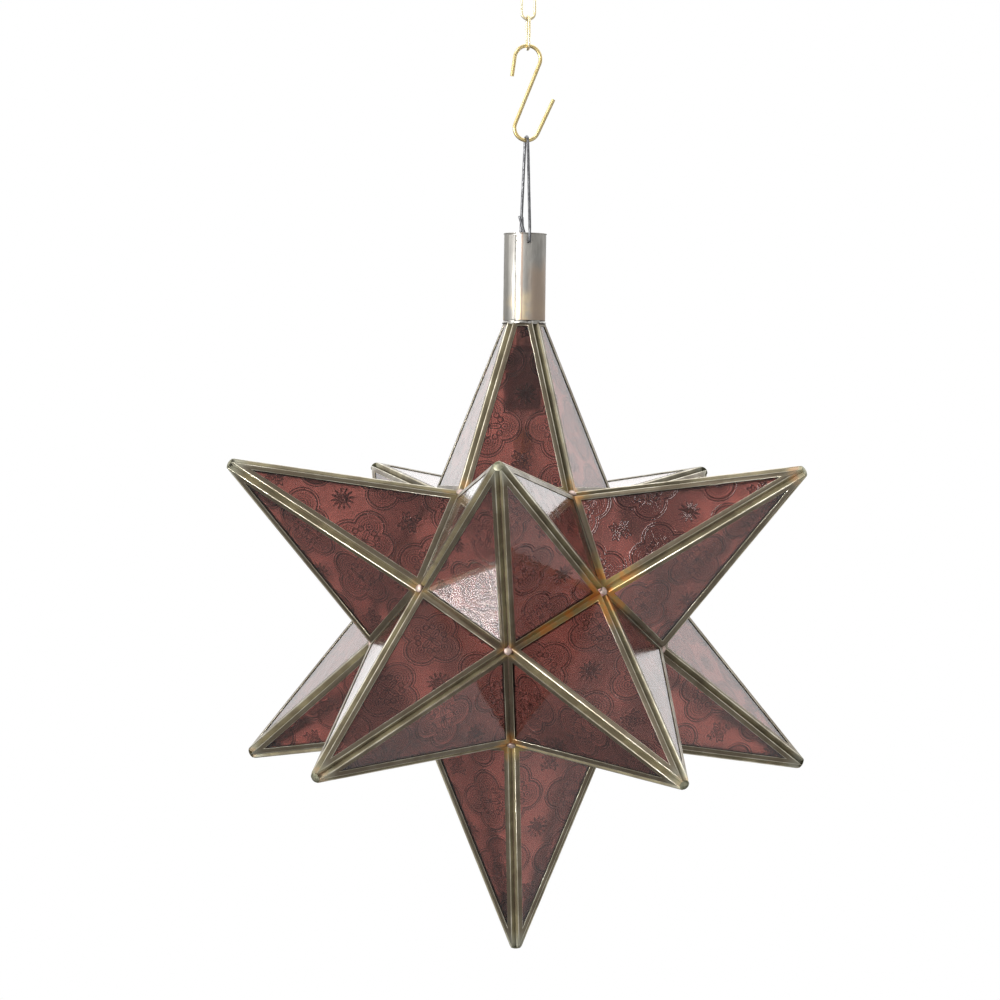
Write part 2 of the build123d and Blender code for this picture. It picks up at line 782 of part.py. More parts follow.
# ------------------------------------------------------------------ lamp
pip_top = core_low - contact_height - touch
button_top = pip_top - lamp_pip_height
lamp_cap_top = button_top - lamp_button_height
lamp_cap_low = lamp_cap_top - lamp_cap_length
globe_height = lamp_cap_low - lamp_globe_drop
with BuildPart() as lamp_contact:
    with BuildSketch(Plane.XY.offset(button_top)):
        Circle(lamp_pip_radius)
    extrude(amount=lamp_pip_height)
    fillet(lamp_contact.edges().group_by(Axis.Z)[-1], radius=lamp_pip_height / 2)
lamp_contact.part.label = "lamp_contact"
export_step(lamp_contact.part, "parts/lamp_contact.step")

with BuildPart() as lamp_insulator:
    with BuildSketch(Plane.XY.offset(lamp_cap_top)):
        Circle(lamp_cap_radius - lamp_cap_wall)
    with BuildSketch(Plane.XY.offset(button_top)):
        Circle(lamp_button_radius / 2 + lamp_pip_radius / 2)
    loft()
lamp_insulator.part.label = "lamp_insulator"
export_step(lamp_insulator.part, "parts/lamp_insulator.step")

with BuildPart() as lamp_cap:
    with BuildSketch(Plane.XY.offset(lamp_cap_low)):
        Circle(lamp_cap_radius)
        Circle(lamp_cap_radius - lamp_cap_wall, mode=Mode.SUBTRACT)
    extrude(amount=lamp_cap_length)
lamp_cap.part.label = "lamp_cap"
export_step(lamp_cap.part, "parts/lamp_cap.step")


def globe(radius, neck, neck_top):
    # A round globe that runs into its neck on one tangent arc
    with BuildPart() as form:
        with BuildSketch(Plane.XZ):
            with BuildLine():
                turn = radians(lamp_shoulder_turn)
                side = (radius * cos(turn), globe_height + radius * sin(turn))
                low = (0, globe_height - radius)
                bowl = ThreePointArc(low, (radius, globe_height), side)
                shoulder_arc = TangentArc(side, (neck, lamp_cap_low - lamp_neck_below_cap), tangent=bowl % 1)
                Polyline(shoulder_arc @ 1, (neck, neck_top), (0, neck_top), low)
            make_face()
        revolve(axis=Axis.Z)
    return form.part


neck_radius = lamp_cap_radius - lamp_cap_wall - touch
inner_neck = neck_radius - lamp_glass_wall
globe_outside = globe(lamp_radius, neck_radius, lamp_cap_low + lamp_neck_in_cap)
globe_inside = globe(lamp_radius - lamp_glass_wall, inner_neck, lamp_cap_low + lamp_neck_in_cap + past)
with BuildPart() as lamp_glass:
    add(globe_outside)
    add(globe_inside, mode=Mode.SUBTRACT)
lamp_glass.part.label = "lamp_glass"
export_step(lamp_glass.part, "parts/lamp_glass.step")

stem_top = lamp_cap_low + lamp_neck_in_cap - lamp_stem_sink
with BuildPart() as lamp_stem:
    with BuildSketch(Plane.XY.offset(stem_top - lamp_stem_length)):
        Circle(lamp_stem_radius)
    extrude(amount=lamp_stem_length)
    with BuildSketch(Plane.XY.offset(stem_top - lamp_stem_flare)):
        Circle(inner_neck - touch)
    extrude(amount=lamp_stem_flare)
lamp_stem.part.label = "lamp_stem"
export_step(lamp_stem.part, "parts/lamp_stem.step")

filament_top = stem_top - lamp_stem_length
with BuildPart() as lamp_filament:
    with BuildSketch(Plane.XY.offset(filament_top - filament_base)):
        Circle(filament_spread / 2 + 2 * filament_radius)
    extrude(amount=filament_base - touch)
    with BuildSketch(Plane.XY.offset(filament_top - filament_base - filament_length)):
        with PolarLocations(filament_spread / 2, filament_count):
            Circle(filament_radius)
    extrude(amount=filament_length)
lamp_filament.part.label = "lamp_filament"
export_step(lamp_filament.part, "parts/lamp_filament.step")

print("star centre", round(star_height, 2), "holes", round(hole_height, 2))
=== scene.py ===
# Star lantern of embossed glass panes in brass cames, hung on a chain
import math
import random

import bpy
import numpy as np
from mathutils import Matrix, Vector, noise


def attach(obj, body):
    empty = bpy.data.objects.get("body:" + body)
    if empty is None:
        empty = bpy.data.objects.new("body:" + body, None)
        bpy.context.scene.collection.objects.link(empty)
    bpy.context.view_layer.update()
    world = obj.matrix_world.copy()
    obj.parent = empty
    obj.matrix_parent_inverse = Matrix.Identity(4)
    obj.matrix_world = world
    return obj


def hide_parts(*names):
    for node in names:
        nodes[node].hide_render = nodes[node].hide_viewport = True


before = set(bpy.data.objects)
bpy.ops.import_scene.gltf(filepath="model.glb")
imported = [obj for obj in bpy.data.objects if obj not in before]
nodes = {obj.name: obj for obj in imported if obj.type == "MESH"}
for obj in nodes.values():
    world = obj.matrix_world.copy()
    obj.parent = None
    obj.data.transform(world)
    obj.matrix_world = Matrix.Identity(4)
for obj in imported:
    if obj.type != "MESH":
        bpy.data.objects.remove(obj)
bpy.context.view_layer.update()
print("loaded", len(nodes), "nodes")

# the star's own geometry, as in the part (metres)
star = {
    "centre": Vector((0, 0, -0.4326447)),
    "reach": 0.240,  # centre to a spike's point
    "valleyReach": 0.108,  # centre to a corner where three spikes meet
    "turn": -15,  # degrees about the upright axis
    "cameDepth": 0.0042,
    "cameWall": 0.0005,
    "glassGap": 0.00025,
    "glassThick": 0.0030,
    "doorGap": 0.00035,
    "neckRidge": 0.0158,  # axis to where the cut panes' ridges stand
    "touch": 0.00003,  # between pieces that are soldered together
}
golden = (1 + math.sqrt(5)) / 2
valleyEdge = 2 * star["valleyReach"] / (math.sqrt(3) * golden)
valleyMiddle = valleyEdge * golden**2 / 2
baseDistance = valleyEdge * golden**2 / (2 * math.sqrt(3 - golden))
baseApothem = math.sqrt(valleyMiddle**2 - baseDistance**2)
paneHeight = math.hypot(baseApothem, star["reach"] - baseDistance)
paneHalf = valleyEdge / 2
faceLean = math.atan(baseApothem / (star["reach"] - baseDistance))
pointHalf = math.atan(paneHalf / paneHeight)
ridgeTurn = math.cos(faceLean) ** 2 * math.cos(math.radians(72)) + math.sin(faceLean) ** 2
ridgeHalf = math.pi / 2 - math.acos(ridgeTurn) / 2
ridgeSetback = star["cameDepth"] / math.tan(ridgeHalf) + star["touch"]
neckCut = paneHeight * (1 - star["neckRidge"] * math.cos(math.radians(36)) / baseApothem)


def direction(azimuth, elevation):
    # azimuth in degrees, elevation in radians
    turn, flat = math.radians(azimuth), math.cos(elevation)
    return Vector((flat * math.cos(turn), flat * math.sin(turn), math.sin(elevation)))


ringLift = math.atan(0.5)
spikes = {"top_spike": Vector((0, 0, 1)), "bottom_spike": Vector((0, 0, -1))}
for step in range(5):
    spikes[f"upper_spike_{step + 1}"] = direction(star["turn"] - 90 + 72 * step, ringLift)
    spikes[f"lower_spike_{step + 1}"] = direction(star["turn"] - 126 + 72 * step, -ringLift)


def neighbours(spike):
    near = [other for other in spikes.values() if other is not spike and spike.dot(other) > 0]
    side = (near[0] - spike * near[0].dot(spike)).normalized()
    across = spike.cross(side)
    return sorted(near, key=lambda other: math.atan2(other.dot(across), other.dot(side)))


def panePlace(spike, other):
    # middle of the valley edge, X along it, Y up the pane, Z outward
    along = spike.cross(other).normalized()
    middle = (spike + other).normalized() * valleyMiddle
    upPane = (spike * star["reach"] - middle).normalized()
    outward = along.cross(upPane)
    place = Matrix((along, upPane, outward)).transposed().to_4x4()
    place.translation = star["centre"] + middle
    return place


# small helpers
def pick(*pieces):
    if bpy.context.object and bpy.context.object.mode != "OBJECT":
        bpy.ops.object.mode_set(mode="OBJECT")
    bpy.ops.object.select_all(action="DESELECT")
    for piece in pieces:
        piece.select_set(True)
    if pieces:
        bpy.context.view_layer.objects.active = pieces[0]


def editAll(piece):
    pick(piece)
    bpy.ops.object.mode_set(mode="EDIT")
    bpy.ops.mesh.select_all(action="SELECT")


def applyAll(piece):
    pick(piece)
    for modifier in list(piece.modifiers):
        bpy.ops.object.modifier_apply(modifier=modifier.name)


def dissolveFlats(piece):
    editAll(piece)
    bpy.ops.mesh.dissolve_limited(angle_limit=math.radians(0.5))
    bpy.ops.object.mode_set(mode="OBJECT")


def dropLayers(piece):
    for layer in list(piece.data.uv_layers):
        piece.data.uv_layers.remove(layer)


def labelFor(node):
    words = node.split("_")
    return words[0] + ("Spike" if len(words) > 1 else "") + "".join(words[2:])


def copyNode(nodeName, pieceName):
    source = nodes[nodeName]
    piece = bpy.data.objects.new(pieceName, source.data.copy())
    bpy.context.scene.collection.objects.link(piece)
    piece.data.materials.clear()
    editAll(piece)
    bpy.ops.mesh.remove_doubles(threshold=0.000002)
    bpy.ops.object.mode_set(mode="OBJECT")
    dropLayers(piece)
    return piece


def dressPiece(piece, body, replaced):
    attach(piece, body)
    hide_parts(replaced)


def giveMaterial(piece, *materials):
    piece.data.materials.clear()
    for material in materials:
        piece.data.materials.append(material)


# material helpers
def startMaterial(name):
    material = bpy.data.materials.new(name)
    material.use_nodes = True
    tree = material.node_tree
    shader = tree.nodes["Principled BSDF"]
    return material, tree, shader


def addNode(tree, kind, settings=None, **inputs):
    node = tree.nodes.new("ShaderNode" + kind)
    for name, value in (settings or {}).items():
        setattr(node, name, value)
    for name, value in inputs.items():
        index = int(name[1:]) if name[0] == "i" and name[1:].isdigit() else name.replace("_", " ")
        if isinstance(value, bpy.types.NodeSocket):
            tree.links.new(value, node.inputs[index])
        else:
            node.inputs[index].default_value = value
    return node


def mathNode(tree, operation, a, b=0.0, c=0.0):
    return addNode(tree, "Math", {"operation": operation}, i0=a, i1=b, i2=c).outputs[0]


def mapRange(tree, value, fromLow, fromHigh, toLow=0.0, toHigh=1.0):
    node = addNode(tree, "MapRange", {"interpolation_type": "SMOOTHSTEP"}, Value=value)
    ends = {"From Min": fromLow, "From Max": fromHigh, "To Min": toLow, "To Max": toHigh}
    for name, number in ends.items():
        node.inputs[name].default_value = number
    return node.outputs["Result"]


def mixColour(tree, factor, first, second):
    node = tree.nodes.new("ShaderNodeMix")
    node.data_type = "RGBA"
    for index, value in ((0, factor), (6, first), (7, second)):
        if isinstance(value, bpy.types.NodeSocket):
            tree.links.new(value, node.inputs[index])
        else:
            node.inputs[index].default_value = (*value, 1) if isinstance(value, tuple) else value
    return node.outputs[2]


def noiseAt(tree, scale, detail=3.0, roughness=0.5, vector=None):
    vector = vector or addNode(tree, "TexCoord").outputs["Object"]
    settings = {"Scale": scale, "Detail": detail, "Roughness": roughness}
    return addNode(tree, "TexNoise", Vector=vector, **settings).outputs[0]


def bumpFrom(tree, shader, height, distance, strength=1.0):
    bump = addNode(tree, "Bump", Strength=strength, Distance=distance, Height=height)
    tree.links.new(bump.outputs[0], shader.inputs["Normal"])


def distanceFrom(tree, place, point):
    moved = addNode(tree, "VectorMath", {"operation": "SUBTRACT"}, i0=place, i1=point)
    length = addNode(tree, "VectorMath", {"operation": "LENGTH"}, i0=moved.outputs[0])
    return length.outputs["Value"]


# camera, lamps, backdrop; metres, millimetres for the lens, and degrees
view = {
    "distance": 2.767,
    "azimuth": -100.772,
    "elevation": 1.847,
    "lens": 144.617,
    "turnLeft": 0.309,
    "pitch": -0.197,
    "lean": 0.77,
}


def makeCamera():
    outward = direction(view["azimuth"], math.radians(view["elevation"]))
    spot = star["centre"] + outward * view["distance"]
    ahead = direction(view["azimuth"] + 180 + view["turnLeft"], math.radians(view["pitch"]))
    cameraData = bpy.data.cameras.new("photoCamera")
    cameraData.lens = view["lens"]
    cameraData.clip_end = 50
    camera = bpy.data.objects.new("photoCamera", cameraData)
    bpy.context.scene.collection.objects.link(camera)
    lean = Matrix.Rotation(math.radians(view["lean"]), 4, "Z")
    turn = ahead.to_track_quat("-Z", "Y").to_matrix().to_4x4() @ lean
    camera.matrix_world = Matrix.Translation(spot) @ turn
    bpy.context.scene.camera = camera


room = {
    "floorHeight": -1.15,
    "floorSize": 60,
    "whiteFrom": 1.3,  # the floor is plain white from here out
    "whiteTo": 2.2,
    "fillLevel": 0.62,
    "frontLevel": 0.30,  # how bright metal and glass see the room on the camera's side
    "backLevel": 1.75,
    "paper": (0.86, 0.86, 0.86),
    # painted reflection: the floor's colour as glossy rays see it, from left to right
    "paintedReflectionLeft": (0.20, 0.20, 0.20),
    "paintedReflectionRight": (0.62, 0.62, 0.62),
    "paintedReflectionSpan": 0.5,  # left and right of the star, along X
    "facing": (-0.25, 0.55),  # cosines to the camera's side, from back level to front level
}


def seenRay(tree):
    path = addNode(tree, "LightPath")
    camera, through = path.outputs["Is Camera Ray"], path.outputs["Is Transmission Ray"]
    return mathNode(tree, "MAXIMUM", camera, through), path.outputs["Is Glossy Ray"]


def makeRoom():
    pick()
    bpy.ops.mesh.primitive_plane_add(size=room["floorSize"], location=(0, 0, room["floorHeight"]))
    floor = bpy.context.object
    floor.name = "floor"
    bpy.ops.object.transform_apply(location=True, rotation=True, scale=True)
    material, tree, shader = startMaterial("floorPaper")
    shader.inputs["Roughness"].default_value = 0.9
    shader.inputs["Specular IOR Level"].default_value = 0.1
    place = addNode(tree, "TexCoord").outputs["Object"]
    flat = addNode(tree, "VectorMath", {"operation": "MULTIPLY"}, i0=place, i1=(1, 1, 0)).outputs[0]
    radius = addNode(tree, "VectorMath", {"operation": "LENGTH"}, i0=flat).outputs["Value"]
    away = mapRange(tree, radius, room["whiteFrom"], room["whiteTo"])
    straight, glossy = seenRay(tree)
    # painted reflection: only as glossy rays see it, the floor is dark, lighter to the right, so
    # the panes that face down mirror it dark
    across = addNode(tree, "SeparateXYZ", Vector=place).outputs[0]
    rightward = mapRange(tree, across, -room["paintedReflectionSpan"], room["paintedReflectionSpan"])
    mirrored = mixColour(tree, rightward, room["paintedReflectionLeft"], room["paintedReflectionRight"])
    tree.links.new(mixColour(tree, glossy, room["paper"], mirrored), shader.inputs["Base Color"])
    glow = addNode(tree, "Emission", Color=(1, 1, 1, 1), Strength=1.0)
    both = addNode(tree, "MixShader", i0=mathNode(tree, "MULTIPLY", away, straight))
    tree.links.new(shader.outputs[0], both.inputs[1])
    tree.links.new(glow.outputs[0], both.inputs[2])
    # clear from underneath, for a view from low down
    below = addNode(tree, "MixShader", i0=addNode(tree, "NewGeometry").outputs["Backfacing"])
    tree.links.new(both.outputs[0], below.inputs[1])
    tree.links.new(addNode(tree, "BsdfTransparent").outputs[0], below.inputs[2])
    tree.links.new(below.outputs[0], tree.nodes["Material Output"].inputs["Surface"])
    giveMaterial(floor, material)

    # white to the camera and through glass; metal and glass mirror a darker room behind the camera
    world = bpy.data.worlds.new("studio")
    bpy.context.scene.world = world
    world.use_nodes = True
    tree = world.node_tree
    straight, glossy = seenRay(tree)
    ahead = direction(view["azimuth"], 0)
    looking = addNode(tree, "TexCoord").outputs["Generated"]
    facing = addNode(tree, "VectorMath", {"operation": "DOT_PRODUCT"}, i0=looking, i1=ahead)
    facing = facing.outputs["Value"]
    mirrored = mapRange(tree, facing, *room["facing"], room["backLevel"], room["frontLevel"])
    extra = mathNode(tree, "SUBTRACT", mirrored, room["fillLevel"])
    level = mathNode(tree, "MULTIPLY_ADD", glossy, extra, room["fillLevel"])
    level = mathNode(tree, "MAXIMUM", level, straight)
    back = tree.nodes["Background"]
    back.inputs["Color"].default_value = (1, 1, 1, 1)
    tree.links.new(level, back.inputs["Strength"])


lamps = [
    # name, azimuth, elevation, distance, width, height, watts
    ("keyLamp", -150, 48, 2.4, 0.9, 0.9, 22),
    ("fillLamp", -60, 25, 2.6, 1.0, 1.0, 8),
    ("topLamp", 60, 70, 2.2, 1.2, 1.2, 14),
    ("sideLamp", -142.3, 2.0, 2.5, 0.35, 0.35, 84),
    ("frontGlow", -138, 0, 2.6, 2.4, 0.7, 9.5),
    ("rightGlow", -78, -3, 2.6, 1.0, 0.7, 4.8),
]


def makeLamps():
    for name, azimuth, elevation, distance, width, height, watts in lamps:
        lampData = bpy.data.lights.new(name, "AREA")
        lampData.energy = watts
        lampData.shape = "RECTANGLE"
        lampData.size, lampData.size_y = width, height
        lamp = bpy.data.objects.new(name, lampData)
        bpy.context.scene.collection.objects.link(lamp)
        lamp.location = star["centre"] + direction(azimuth, math.radians(elevation)) * distance
        lamp.rotation_euler = (star["centre"] - lamp.location).to_track_quat("-Z", "Y").to_euler()


bpy.context.scene.view_settings.view_transform = "Standard"
makeCamera()
makeRoom()
makeLamps()
print("camera and lamps")

# glass panes: three cut sheets, copied, each copy with its own part of the embossed pattern
# The pattern is pressed into the inner face, where its lines are darkened as painted shade with a
# painted highlight beside them.
# The outer face's material is a little wavy, and shows the pattern's lines faintly as painted shade
# where it isn't dusty.
glassLook = {
    "tint": (0.485, 0.258, 0.228),
    # painted shade: the colour the pattern's lines are darkened to
    "paintedLineShade": (0.085, 0.045, 0.040),
    "paintedHighlightTint": (0.74, 0.44, 0.39),
    "outerRoughness": 0.02,
    "dustyRoughness": 0.15,
    "dustyFrom": 0.5,
    "refraction": 1.62,
    "innerRoughness": 0.23,
    "faintLineShade": 0.38,
    "faintRelief": 0.11,
    "cloudScale": 14,
    "cloudSpan": (0.35, 0.65),
    "cloudShade": 0.9,
    "waveScale": 55,
    "rippleScale": 240,
    "rippleShare": 0.16,
    "waveHeight": 0.00021,
    "lineShadeScale": 60,
    "lineShadeSpan": (0.30, 0.55, 0.72, 1.0),
    "paintedHighlightShare": 0.8,
    "grainScale": 700,
    "grainShare": 0.25,
    "lineHeight": 0.00042,
    "smoothAngle": 50,
}
emboss = {
    "gridStep": 0.0009,
    "period": 0.048,
    "lobeOffset": 0.0110,
    "lobeRadius": 0.0100,
    "outerLine": 0.0017,
    "ringPitch": 0.0017,
    "ringStrength": 0.8,
    "flowerReach": 0.0085,
    "curlAt": 0.0078,
    "daisyReach": 0.0068,
    "rosetteReach": 0.0084,
    "lineWidth": 0.00062,
    "lineDepth": 0.00030,
    "outerDepth": 0.6,  # shares of the line depth
    "motifDepth": 0.8,
    "waveDepth": 0.00006,
    "waves": [(0.055, 1.0), (0.030, 0.5), (0.017, 0.22)],  # length, share
    "wavesOfEach": 3,
    "sheetLean": 4,  # degrees either way
    "lineCore": 0.25,  # share of a drawn line's half width that is fully dark
    "paintedHighlightBeside": 1.5,  # the painted highlight's place, in half widths
    # half widths of the drawn lines
    "lobeLine": 0.0006,
    "outerLobeLine": 0.0004,
    "petalLine": 0.0007,
    "veinLine": 0.0004,
    "smallLine": 0.0005,
    "eyeRadius": 0.0011,
    "beadCount": 26.0,
    "beadShare": 0.35,
    "beadLevel": 0.45,
    "petalPower": 2.2,
    "petalShare": 0.74,
    "rosettePower": 0.45,
    "rosetteCrinkle": 0.14,
    "rosetteCrinkles": 12,
    "curlSide": 0.62,  # shares of curlAt
    "curlSize": 0.24,
    "daisyPetals": 12,
    "daisyWaist": 0.20,
    # shares of daisyReach
    "daisyMiddle": 0.62,
    "daisyLong": 0.38,
    "daisyWide": 0.075,
    "daisyEye": 0.17,
    # leaf rosette: size, half width, strength
    "rosetteLines": [(1.0, 0.0009, 1.0), (0.62, 0.0007, 0.9), (0.3, 0.0006, 0.9)],
}


def lineNode(tree, distance, halfWidth):
    # 1 on the line, 0 away from it
    away = mathNode(tree, "ABSOLUTE", distance)
    return mapRange(tree, away, halfWidth, halfWidth * emboss["lineCore"])


def patternNodes(tree):
    # lines darkened as painted shade and the painted highlights beside them, from the pane's own UV
    # map in metres
    def do(operation, a, b=0.0, c=0.0):
        return mathNode(tree, operation, a, b, c)

    def both(first, second):
        squares = [do("POWER", do("ABSOLUTE", side), 2) for side in (first, second)]
        return do("SQRT", do("ADD", *squares))

    drawn = {"dark": 0.0, "light": 0.0}

    def draw(distance, halfWidth, strength=1.0, where=1.0):
        share = do("MULTIPLY", strength, where)
        dark = do("MULTIPLY", lineNode(tree, distance, halfWidth), share)
        # a painted highlight just outside each drawn line
        beside = do("SUBTRACT", distance, halfWidth * emboss["paintedHighlightBeside"])
        light = lineNode(tree, beside, halfWidth)
        drawn["dark"] = do("MAXIMUM", drawn["dark"], dark)
        drawn["light"] = do("MAXIMUM", drawn["light"], do("MULTIPLY", light, share))

    period = emboss["period"]
    sheetMap = addNode(tree, "UVMap", {"uv_map": "sheet"}).outputs[0]
    parts = addNode(tree, "SeparateXYZ", Vector=sheetMap)
    x, y = parts.outputs[0], parts.outputs[1]
    flatX = do("ABSOLUTE", do("WRAP", x, period / 2, -period / 2))
    flatY = do("ABSOLUTE", do("WRAP", y, period / 2, -period / 2))
    far, near = do("MAXIMUM", flatX, flatY), do("MINIMUM", flatX, flatY)
    along = do("SUBTRACT", far, emboss["lobeOffset"])
    lobe = both(along, near)
    middle = both(flatX, flatY)
    turn = do("ARCTAN2", flatY, flatX)
    # beaded rings in the lobes, outside the leaves
    rings = do("SINE", do("MULTIPLY", lobe, 2 * math.pi / emboss["ringPitch"]))
    rings = mapRange(tree, rings, 0.0, 0.8)
    beads = do("SINE", do("MULTIPLY", do("ARCTAN2", near, along), emboss["beadCount"]))
    beads = do("MULTIPLY_ADD", beads, emboss["beadShare"], emboss["beadLevel"])
    rings = do("MULTIPLY", rings, beads)
    inLobe = mapRange(tree, lobe, emboss["lobeRadius"] * 0.90, emboss["lobeRadius"] * 0.82)
    offFlower = mapRange(tree, middle, emboss["flowerReach"], emboss["flowerReach"] * 1.1)
    rings = do("MULTIPLY", do("MULTIPLY", rings, inLobe), offFlower)
    drawn["dark"] = do("MULTIPLY", rings, emboss["ringStrength"])
    draw(do("SUBTRACT", lobe, emboss["lobeRadius"]), emboss["lobeLine"])
    outerLobe = emboss["lobeRadius"] + emboss["outerLine"]
    draw(do("SUBTRACT", lobe, outerLobe), emboss["outerLobeLine"])
    # four long leaves and a small eye in the medallion
    flower, share = emboss["flowerReach"], emboss["petalShare"]
    petal = do("ABSOLUTE", do("COSINE", do("MULTIPLY", turn, 2.0)))
    petal = do("POWER", petal, emboss["petalPower"])
    petal = do("MULTIPLY_ADD", petal, flower * share, flower * (1 - share))
    draw(do("SUBTRACT", middle, petal), emboss["petalLine"])
    draw(near, emboss["veinLine"], 0.8, mapRange(tree, middle, flower * 0.8, flower * 0.7))
    draw(do("SUBTRACT", middle, emboss["eyeRadius"]), emboss["smallLine"])
    # small curls beside the leaves
    curlAt = emboss["curlAt"]
    curl = both(do("SUBTRACT", far, curlAt), do("SUBTRACT", near, curlAt * emboss["curlSide"]))
    draw(do("SUBTRACT", curl, curlAt * emboss["curlSize"]), emboss["smallLine"], 0.9)
    # a daisy or a leaf rosette where four medallions meet
    cornerX, cornerY = do("SUBTRACT", flatX, period / 2), do("SUBTRACT", flatY, period / 2)
    middle = both(cornerX, cornerY)
    turn = do("ARCTAN2", cornerY, cornerX)
    squareX, squareY = (do("FLOOR", do("DIVIDE", side, period)) for side in (x, y))
    odd = do("PINGPONG", do("ADD", squareX, squareY), 1.0)
    even = do("SUBTRACT", 1.0, odd)
    wedge = math.pi / emboss["daisyPetals"]
    spread = do("MULTIPLY", do("SINE", do("WRAP", turn, wedge, -wedge)), middle)
    daisy = emboss["daisyReach"]
    petalLong = do("SUBTRACT", middle, daisy * emboss["daisyMiddle"])
    petalLong = do("DIVIDE", petalLong, daisy * emboss["daisyLong"])
    petalWide = do("DIVIDE", spread, daisy * emboss["daisyWide"])
    petalEdge = do("SUBTRACT", both(petalLong, petalWide), 1.0)
    petals = do("MULTIPLY", lineNode(tree, petalEdge, 0.6), odd)
    drawn["dark"] = do("MAXIMUM", drawn["dark"], petals)
    draw(do("SUBTRACT", middle, daisy * emboss["daisyEye"]), emboss["smallLine"], 1.0, odd)
    depth = emboss["rosetteCrinkle"]
    crinkle = do("SINE", do("MULTIPLY", turn, emboss["rosetteCrinkles"]))
    crinkle = do("MULTIPLY_ADD", crinkle, depth, 1 - depth)
    leaf = do("ABSOLUTE", do("SINE", do("MULTIPLY", turn, 2.0)))
    leaf = do("POWER", leaf, emboss["rosettePower"])
    leaf = do("MULTIPLY", do("MULTIPLY", leaf, crinkle), emboss["rosetteReach"])
    for size, halfWidth, strength in emboss["rosetteLines"]:
        draw(do("SUBTRACT", middle, do("MULTIPLY", leaf, size)), halfWidth, strength, even)
    return drawn["dark"], drawn["light"]


def startGlass(name, roughness, refraction, weight=1.0):
    material, tree, shader = startMaterial(name)
    shader.inputs["Transmission Weight"].default_value = weight
    shader.inputs["Roughness"].default_value = roughness
    shader.inputs["IOR"].default_value = refraction
    return material, tree, shader


def faceGlass(name, roughness, clear):
    # clear panes show the pattern through this face, its lines darkened as painted shade; dusty
    # ones don't
    outer, tree, shader = startGlass(name, roughness, glassLook["refraction"])
    cloud = mapRange(tree, noiseAt(tree, glassLook["cloudScale"], 3), *glassLook["cloudSpan"])
    tint = glassLook["tint"]
    colour = mixColour(tree, cloud, tuple(c * glassLook["cloudShade"] for c in tint), tint)
    waves = noiseAt(tree, glassLook["waveScale"], 2)
    ripple = noiseAt(tree, glassLook["rippleScale"], 2)
    waves = mathNode(tree, "MULTIPLY_ADD", ripple, glassLook["rippleShare"], waves)
    if clear:
        lines = patternNodes(tree)[0]
        shade = mathNode(tree, "MULTIPLY", lines, glassLook["faintLineShade"])
        colour = mixColour(tree, shade, colour, glassLook["paintedLineShade"])
        waves = mathNode(tree, "MULTIPLY_ADD", lines, -glassLook["faintRelief"], waves)
    tree.links.new(colour, shader.inputs["Base Color"])
    bumpFrom(tree, shader, waves, glassLook["waveHeight"])
    return outer


def makeGlassMaterials():
    outer = faceGlass("burgundyGlassFace", glassLook["outerRoughness"], True)
    dusty = faceGlass("dustyGlassFace", glassLook["dustyRoughness"], False)
    look = glassLook["innerRoughness"], glassLook["refraction"]
    inner, tree, shader = startGlass("burgundyGlassRelief", *look)
    lines, edges = patternNodes(tree)
    # the pattern's lines darkened as painted shade, stronger in some places than others at random
    worn = mapRange(tree, noiseAt(tree, glassLook["lineShadeScale"], 3), *glassLook["lineShadeSpan"])
    # painted highlight beside the lines, in a lighter glass tint
    paintedHighlight = mathNode(tree, "MULTIPLY", edges, glassLook["paintedHighlightShare"])
    colour = mixColour(tree, paintedHighlight, glassLook["tint"], glassLook["paintedHighlightTint"])
    colour = mixColour(tree, mathNode(tree, "MULTIPLY", lines, worn), colour, glassLook["paintedLineShade"])
    tree.links.new(colour, shader.inputs["Base Color"])
    grain = noiseAt(tree, glassLook["grainScale"], 2)
    grain = mathNode(tree, "MULTIPLY", grain, glassLook["grainShare"])
    bumpFrom(tree, shader, mathNode(tree, "SUBTRACT", grain, lines), glassLook["lineHeight"])
    return outer, inner, dusty


def reliefDepth(x, y):
    # depth of the main lines pressed into the sheet
    period = emboss["period"]
    flatX = np.abs((x + period / 2) % period - period / 2)
    flatY = np.abs((y + period / 2) % period - period / 2)
    far, near = np.maximum(flatX, flatY), np.minimum(flatX, flatY)
    lobe = np.hypot(far - emboss["lobeOffset"], near)

    def line(distance):
        return np.exp(-((distance / emboss["lineWidth"]) ** 2))

    fromEdge = lobe - emboss["lobeRadius"]
    depth = line(fromEdge) + emboss["outerDepth"] * line(fromEdge - emboss["outerLine"])
    turn, share = np.arctan2(flatY, flatX), emboss["petalShare"]
    petal = 1 - share + share * np.abs(np.cos(2 * turn)) ** emboss["petalPower"]
    petal *= emboss["flowerReach"]
    depth += emboss["motifDepth"] * line(np.hypot(flatX, flatY) - petal)
    cornerX, cornerY = flatX - period / 2, flatY - period / 2
    middle, turn = np.hypot(cornerX, cornerY), np.arctan2(cornerY, cornerX)
    odd = (np.floor(x / period) + np.floor(y / period)) % 2
    waist, wavy = emboss["daisyWaist"], emboss["rosetteCrinkle"]
    daisy = 1 - waist + waist * np.abs(np.cos(emboss["daisyPetals"] / 2 * turn))
    daisy *= emboss["daisyReach"]
    crinkle = 1 - wavy + wavy * np.sin(emboss["rosetteCrinkles"] * turn)
    leaf = emboss["rosetteReach"] * np.abs(np.sin(2 * turn)) ** emboss["rosettePower"] * crinkle
    corner = odd * line(middle - daisy) + (1 - odd) * line(middle - leaf)
    depth += emboss["motifDepth"] * corner
    return emboss["lineDepth"] * depth


def reliefWave(x, y, seed):
    wave = np.zeros_like(x)
    shifter = random.Random(seed)
    for size, share in emboss["waves"]:
        for _ in range(emboss["wavesOfEach"]):
            turn, shift = shifter.uniform(0, math.pi), shifter.uniform(0, 2 * math.pi)
            along = x * math.cos(turn) + y * math.sin(turn)
            wave += share * np.sin(2 * math.pi * along / size + shift) / emboss["wavesOfEach"]
    return emboss["waveDepth"] * wave


